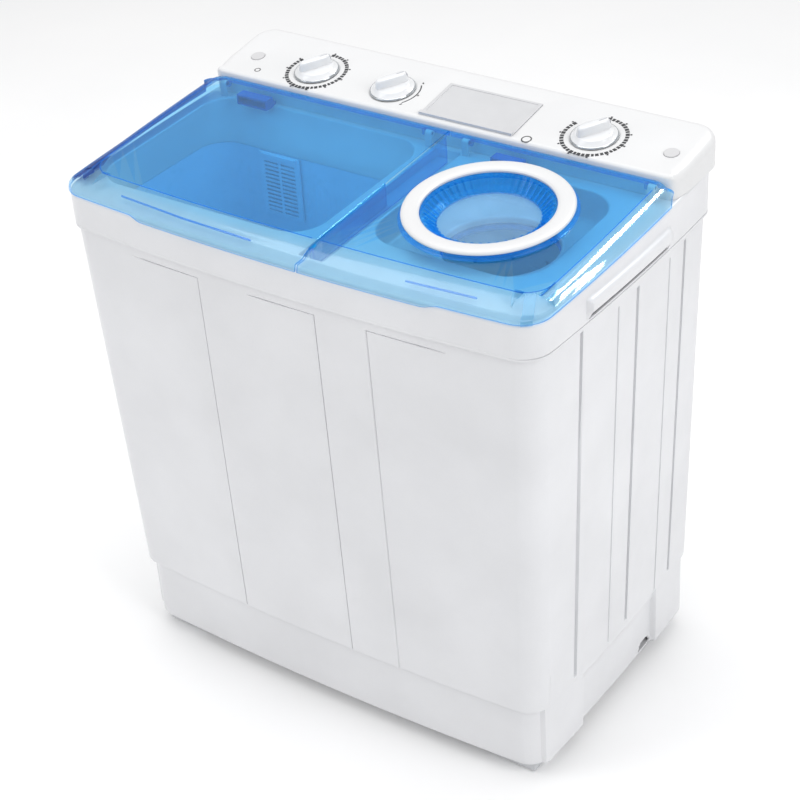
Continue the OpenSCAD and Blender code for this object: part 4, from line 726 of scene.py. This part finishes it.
for x in (-216, -87, 227):
    P4 = panel_m(x, 149)
    rr3 = [on_panel(P4, [(rr_ * cos(2 * pi * i / 48), rr_ * sin(2 * pi * i / 48), z) for i in range(48)]) for rr_, z in ((34.2, 0), (33.4, 0), (32.6, -0.5), (31.8, -0.7), (7, -0.7), (6, -1.4))]
    skin(bm, rr3); loops.append(rr3[0])
for x in (-322, 336):
    P4 = panel_m(x, 152)
    rr3 = [on_panel(P4, [(rr_ * cos(2 * pi * i / 32), rr_ * sin(2 * pi * i / 32), z) for i in range(32)]) for rr_, z in ((11.4, 0), (10.6, -0.1), (10.05, -0.6), (10.05, -1.05), (3, -1.05))]
    skin(bm, rr3); loops.append(rr3[0])
P4 = panel_m(54, 151)
rect = rrect(-73, 73, -38, 39, 2.5, 2.5, 4, ys=[0], xf=[0], xr=[0])
rr3 = [on_panel(P4, [(x, y, z) for x, y in inset(rect, -o)]) for o, z in ((1.0, 0), (0.2, -0.2), (0, -1.2))]
skin(bm, rr3); fill(bm, [rr3[-1]]); loops.append(rr3[0])
fill(bm, loops)
make("console_shell", bm, "panel_plastic", "washer", 35, solid=2.3, stands=("control_console",), face=((0.15, 0.17, 0.787), (0, 0, 1)))

# ------------------------------------------------------------ knobs
def knob(name, x):
    P4 = panel_m(x, 149) @ Matrix.Rotation(radians(-35), 4, "Z")
    b = bmesh.new()
    lathe(b, [(3, -23), (3, 0.9), (29.2, 0.9), (30.4, 1.6), (30.5, 3.0), (29.4, 4.0), (26.9, 5.6), (25.4, 7.4), (24.4, 8.4), (22.6, 8.9), (12, 9.2), (2, 9.3)], 96, P4)
    def topped(rr_, z, k=0):
        return [(rr_ * cos(t), rr_ * sin(t), z) for t in (2 * pi * i / 8 for i in range(8))]
    lv = []
    for z, w_, l_ in ((7.0, 8.6, 24.2), (10.0, 7.9, 23.6), (15.0, 7.1, 22.6), (18.5, 6.5, 21.8), (20.1, 5.7, 20.9), (20.9, 4.2, 19.4), (21.1, 2.2, 17.6)):
        pts = rrect(-w_, w_, -l_, l_, min(w_ - 0.2, 5.5), min(w_ - 0.2, 5.5), 5, ys=[-10, -4, 0, 4, 10], xf=[0], xr=[0])
        pts = [(px_ * (1 - 0.16 * smoothstep(0, 22, abs(py_))), py_) for px_, py_ in pts]
        lv.append([b.verts.new(P4 @ (Vector((px_, py_, z)) * MM)) for px_, py_ in pts])
    skin(b, lv); cap(b, lv[-1]); cap(b, lv[0], True)
    make(name + "_cap", b, "knob_plastic", name, 34, stands=(name,))
    b = bmesh.new()
    lathe(b, [(29.5, 0.45), (31.3, 0.45), (31.75, 1.0), (31.7, 2.2), (31.1, 3.0), (30.2, 3.2), (29.5, 2.2), (29.5, 0.45)], 96, P4)
    make(name + "_rim", b, "chrome_rim", name, 40)
    b = bmesh.new()
    m4 = P4
    vs = box_bm(b, (-3.3, 21.0, 9.6), (3.3, 22.9, 18.4), m4)
    box_bm(b, (-0.8, 8.5, 20.9), (0.8, 19.0, 21.35), m4)
    make(name + "_mark", b, "ink_grey", name, 30, bevel=0.25)
for nm, x in (("wash_timer_knob", -216), ("selector_knob", -87), ("spin_timer_knob", 227)): knob(nm, x)

# dial marks: thin inlaid dashes round the timers, a short arc beside the selector
def dash(b, P4, t, r0, r1, w_, h=0.16):
    R4 = P4 @ Matrix.Rotation(radians(t), 4, "Z")
    vs = [b.verts.new(R4 @ (Vector((rr_, s_ * w_ / 2, z)) * MM)) for z in (-0.1, h) for rr_, s_ in ((r0, -1), (r1, -1), (r1, 1), (r0, 1))]
    for f in ((3, 2, 1, 0), (4, 5, 6, 7), (0, 1, 5, 4), (1, 2, 6, 5), (2, 3, 7, 6), (3, 0, 4, 7)): b.faces.new([vs[i] for i in f])
def arc_dash(b, P4, t0, t1, r0, r1, h=0.16):
    n = max(2, int((t1 - t0) / 2.5))
    cols = []
    for i in range(n + 1):
        t = radians(t0 + (t1 - t0) * i / n)
        cols.append([b.verts.new(P4 @ (Vector((rr_ * cos(t), rr_ * sin(t), z)) * MM)) for rr_, z in ((r0, -0.1), (r0, h), (r1, h), (r1, -0.1))])
    for A, B in zip(cols, cols[1:]):
        for q in range(4): b.faces.new((A[q], A[(q + 1) % 4], B[(q + 1) % 4], B[q]))
    b.faces.new(cols[0]); b.faces.new(list(reversed(cols[-1])))
b = bmesh.new()
for x in (-216, 227):
    P4 = panel_m(x, 149)
    t, i = -207.0, 0
    while t < 92:
        w_ = (7.0, 4.6, 6.2, 5.4)[i % 4]
        arc_dash(b, P4, t, t + w_, 39.8, 45.0, 0.3)
        if i % 4 == 0: arc_dash(b, P4, t + 1.5, t + 4.5, 45.8, 48.2, 0.3)
        t += w_ + (2.6, 2.2)[i % 2]; i += 1
P4 = panel_m(-87, 149)
arc_dash(b, P4, -38, 34, 38.2, 39.9)
for t in (-44, -4, 38): arc_dash(b, P4, t, t + 5, 41.0, 43.0)
P4 = panel_m(148, 111.8)
ang = [2 * pi * i / 32 for i in range(32)]
rr3 = [[b.verts.new(P4 @ (Vector((rr_ * cos(t), rr_ * sin(t), z)) * MM)) for t in ang] for rr_, z in ((7.2, -0.1), (7.2, 0.2), (5.6, 0.2), (5.6, -0.1))]
skin(b, rr3, wrap=True)
P4 = panel_m(-300, 122)
rr3 = [[b.verts.new(P4 @ (Vector((rr_ * cos(t), rr_ * sin(t), z)) * MM)) for t in ang] for rr_, z in ((4.6, -0.1), (4.6, 0.2), (3.4, 0.2), (3.4, -0.1))]
skin(b, rr3, wrap=True)
make("dial_marks", b, "ink", "washer", 30)

# ------------------------------------------------------------ floor and light
def floor_material():
    mt, nt, out = nodes_of("floor_paper")
    p = nt.nodes.new("ShaderNodeBsdfPrincipled")
    n = noise(nt, 2.2, 4.0); f = noise(nt, 260.0, 2.0)
    nt.links.new(ramp(nt, n.outputs["Fac"], 0.3, 0.7, (0.925, 0.927, 0.932), (0.95, 0.95, 0.952)), p.inputs["Base Color"])
    nt.links.new(mrange(nt, f.outputs["Fac"], 0.3, 0.7, 0.80, 0.95), p.inputs["Roughness"])
    nt.links.new(bump(nt, f.outputs["Fac"], 0.1, 0.0003), p.inputs["Normal"])
    p.inputs["Specular IOR Level"].default_value = 0.1
    nt.links.new(p.outputs[0], out.inputs["Surface"])
    return mt
bm = bmesh.new()
bmesh.ops.create_grid(bm, x_segments=8, y_segments=8, size=14)
me = bpy.data.meshes.new("floor"); bm.to_mesh(me); bm.free()
floor = bpy.data.objects.new("floor", me)
scene.collection.objects.link(floor)
me.materials.append(floor_material())
world = bpy.data.worlds.new("studio"); scene.world = world
world.use_nodes = True
bg = world.node_tree.nodes.get("Background") or world.node_tree.nodes.new("ShaderNodeBackground")
bg.inputs["Color"].default_value = (1.0, 1.0, 1.0, 1)
bg.inputs["Strength"].default_value = 0.70
def area(name, loc, aim, size, size_y, power, col=(1, 1, 1)):
    l = bpy.data.lights.new(name, "AREA")
    l.shape, l.size, l.size_y, l.energy, l.color = "RECTANGLE", size, size_y, power, col
    o = bpy.data.objects.new(name, l)
    o.location = loc
    o.rotation_euler = (Vector(loc) - Vector(aim)).to_track_quat("Z", "Y").to_euler()
    scene.collection.objects.link(o)
    return o
area("key", (-2.3, -2.5, 2.6), (0, 0, 0.5), 2.0, 2.2, 38)
area("side", (3.2, -0.5, 2.5), (0, 0, 0.55), 1.8, 2.2, 50)
area("top", (-0.3, 0.4, 3.2), (0, 0, 0.6), 2.6, 2.0, 37)
gl_ = area("back", (1.2, 2.65, 3.6), (0.36, -0.05, 0.75), 1.5, 0.6, 115)
gl_.visible_diffuse = False
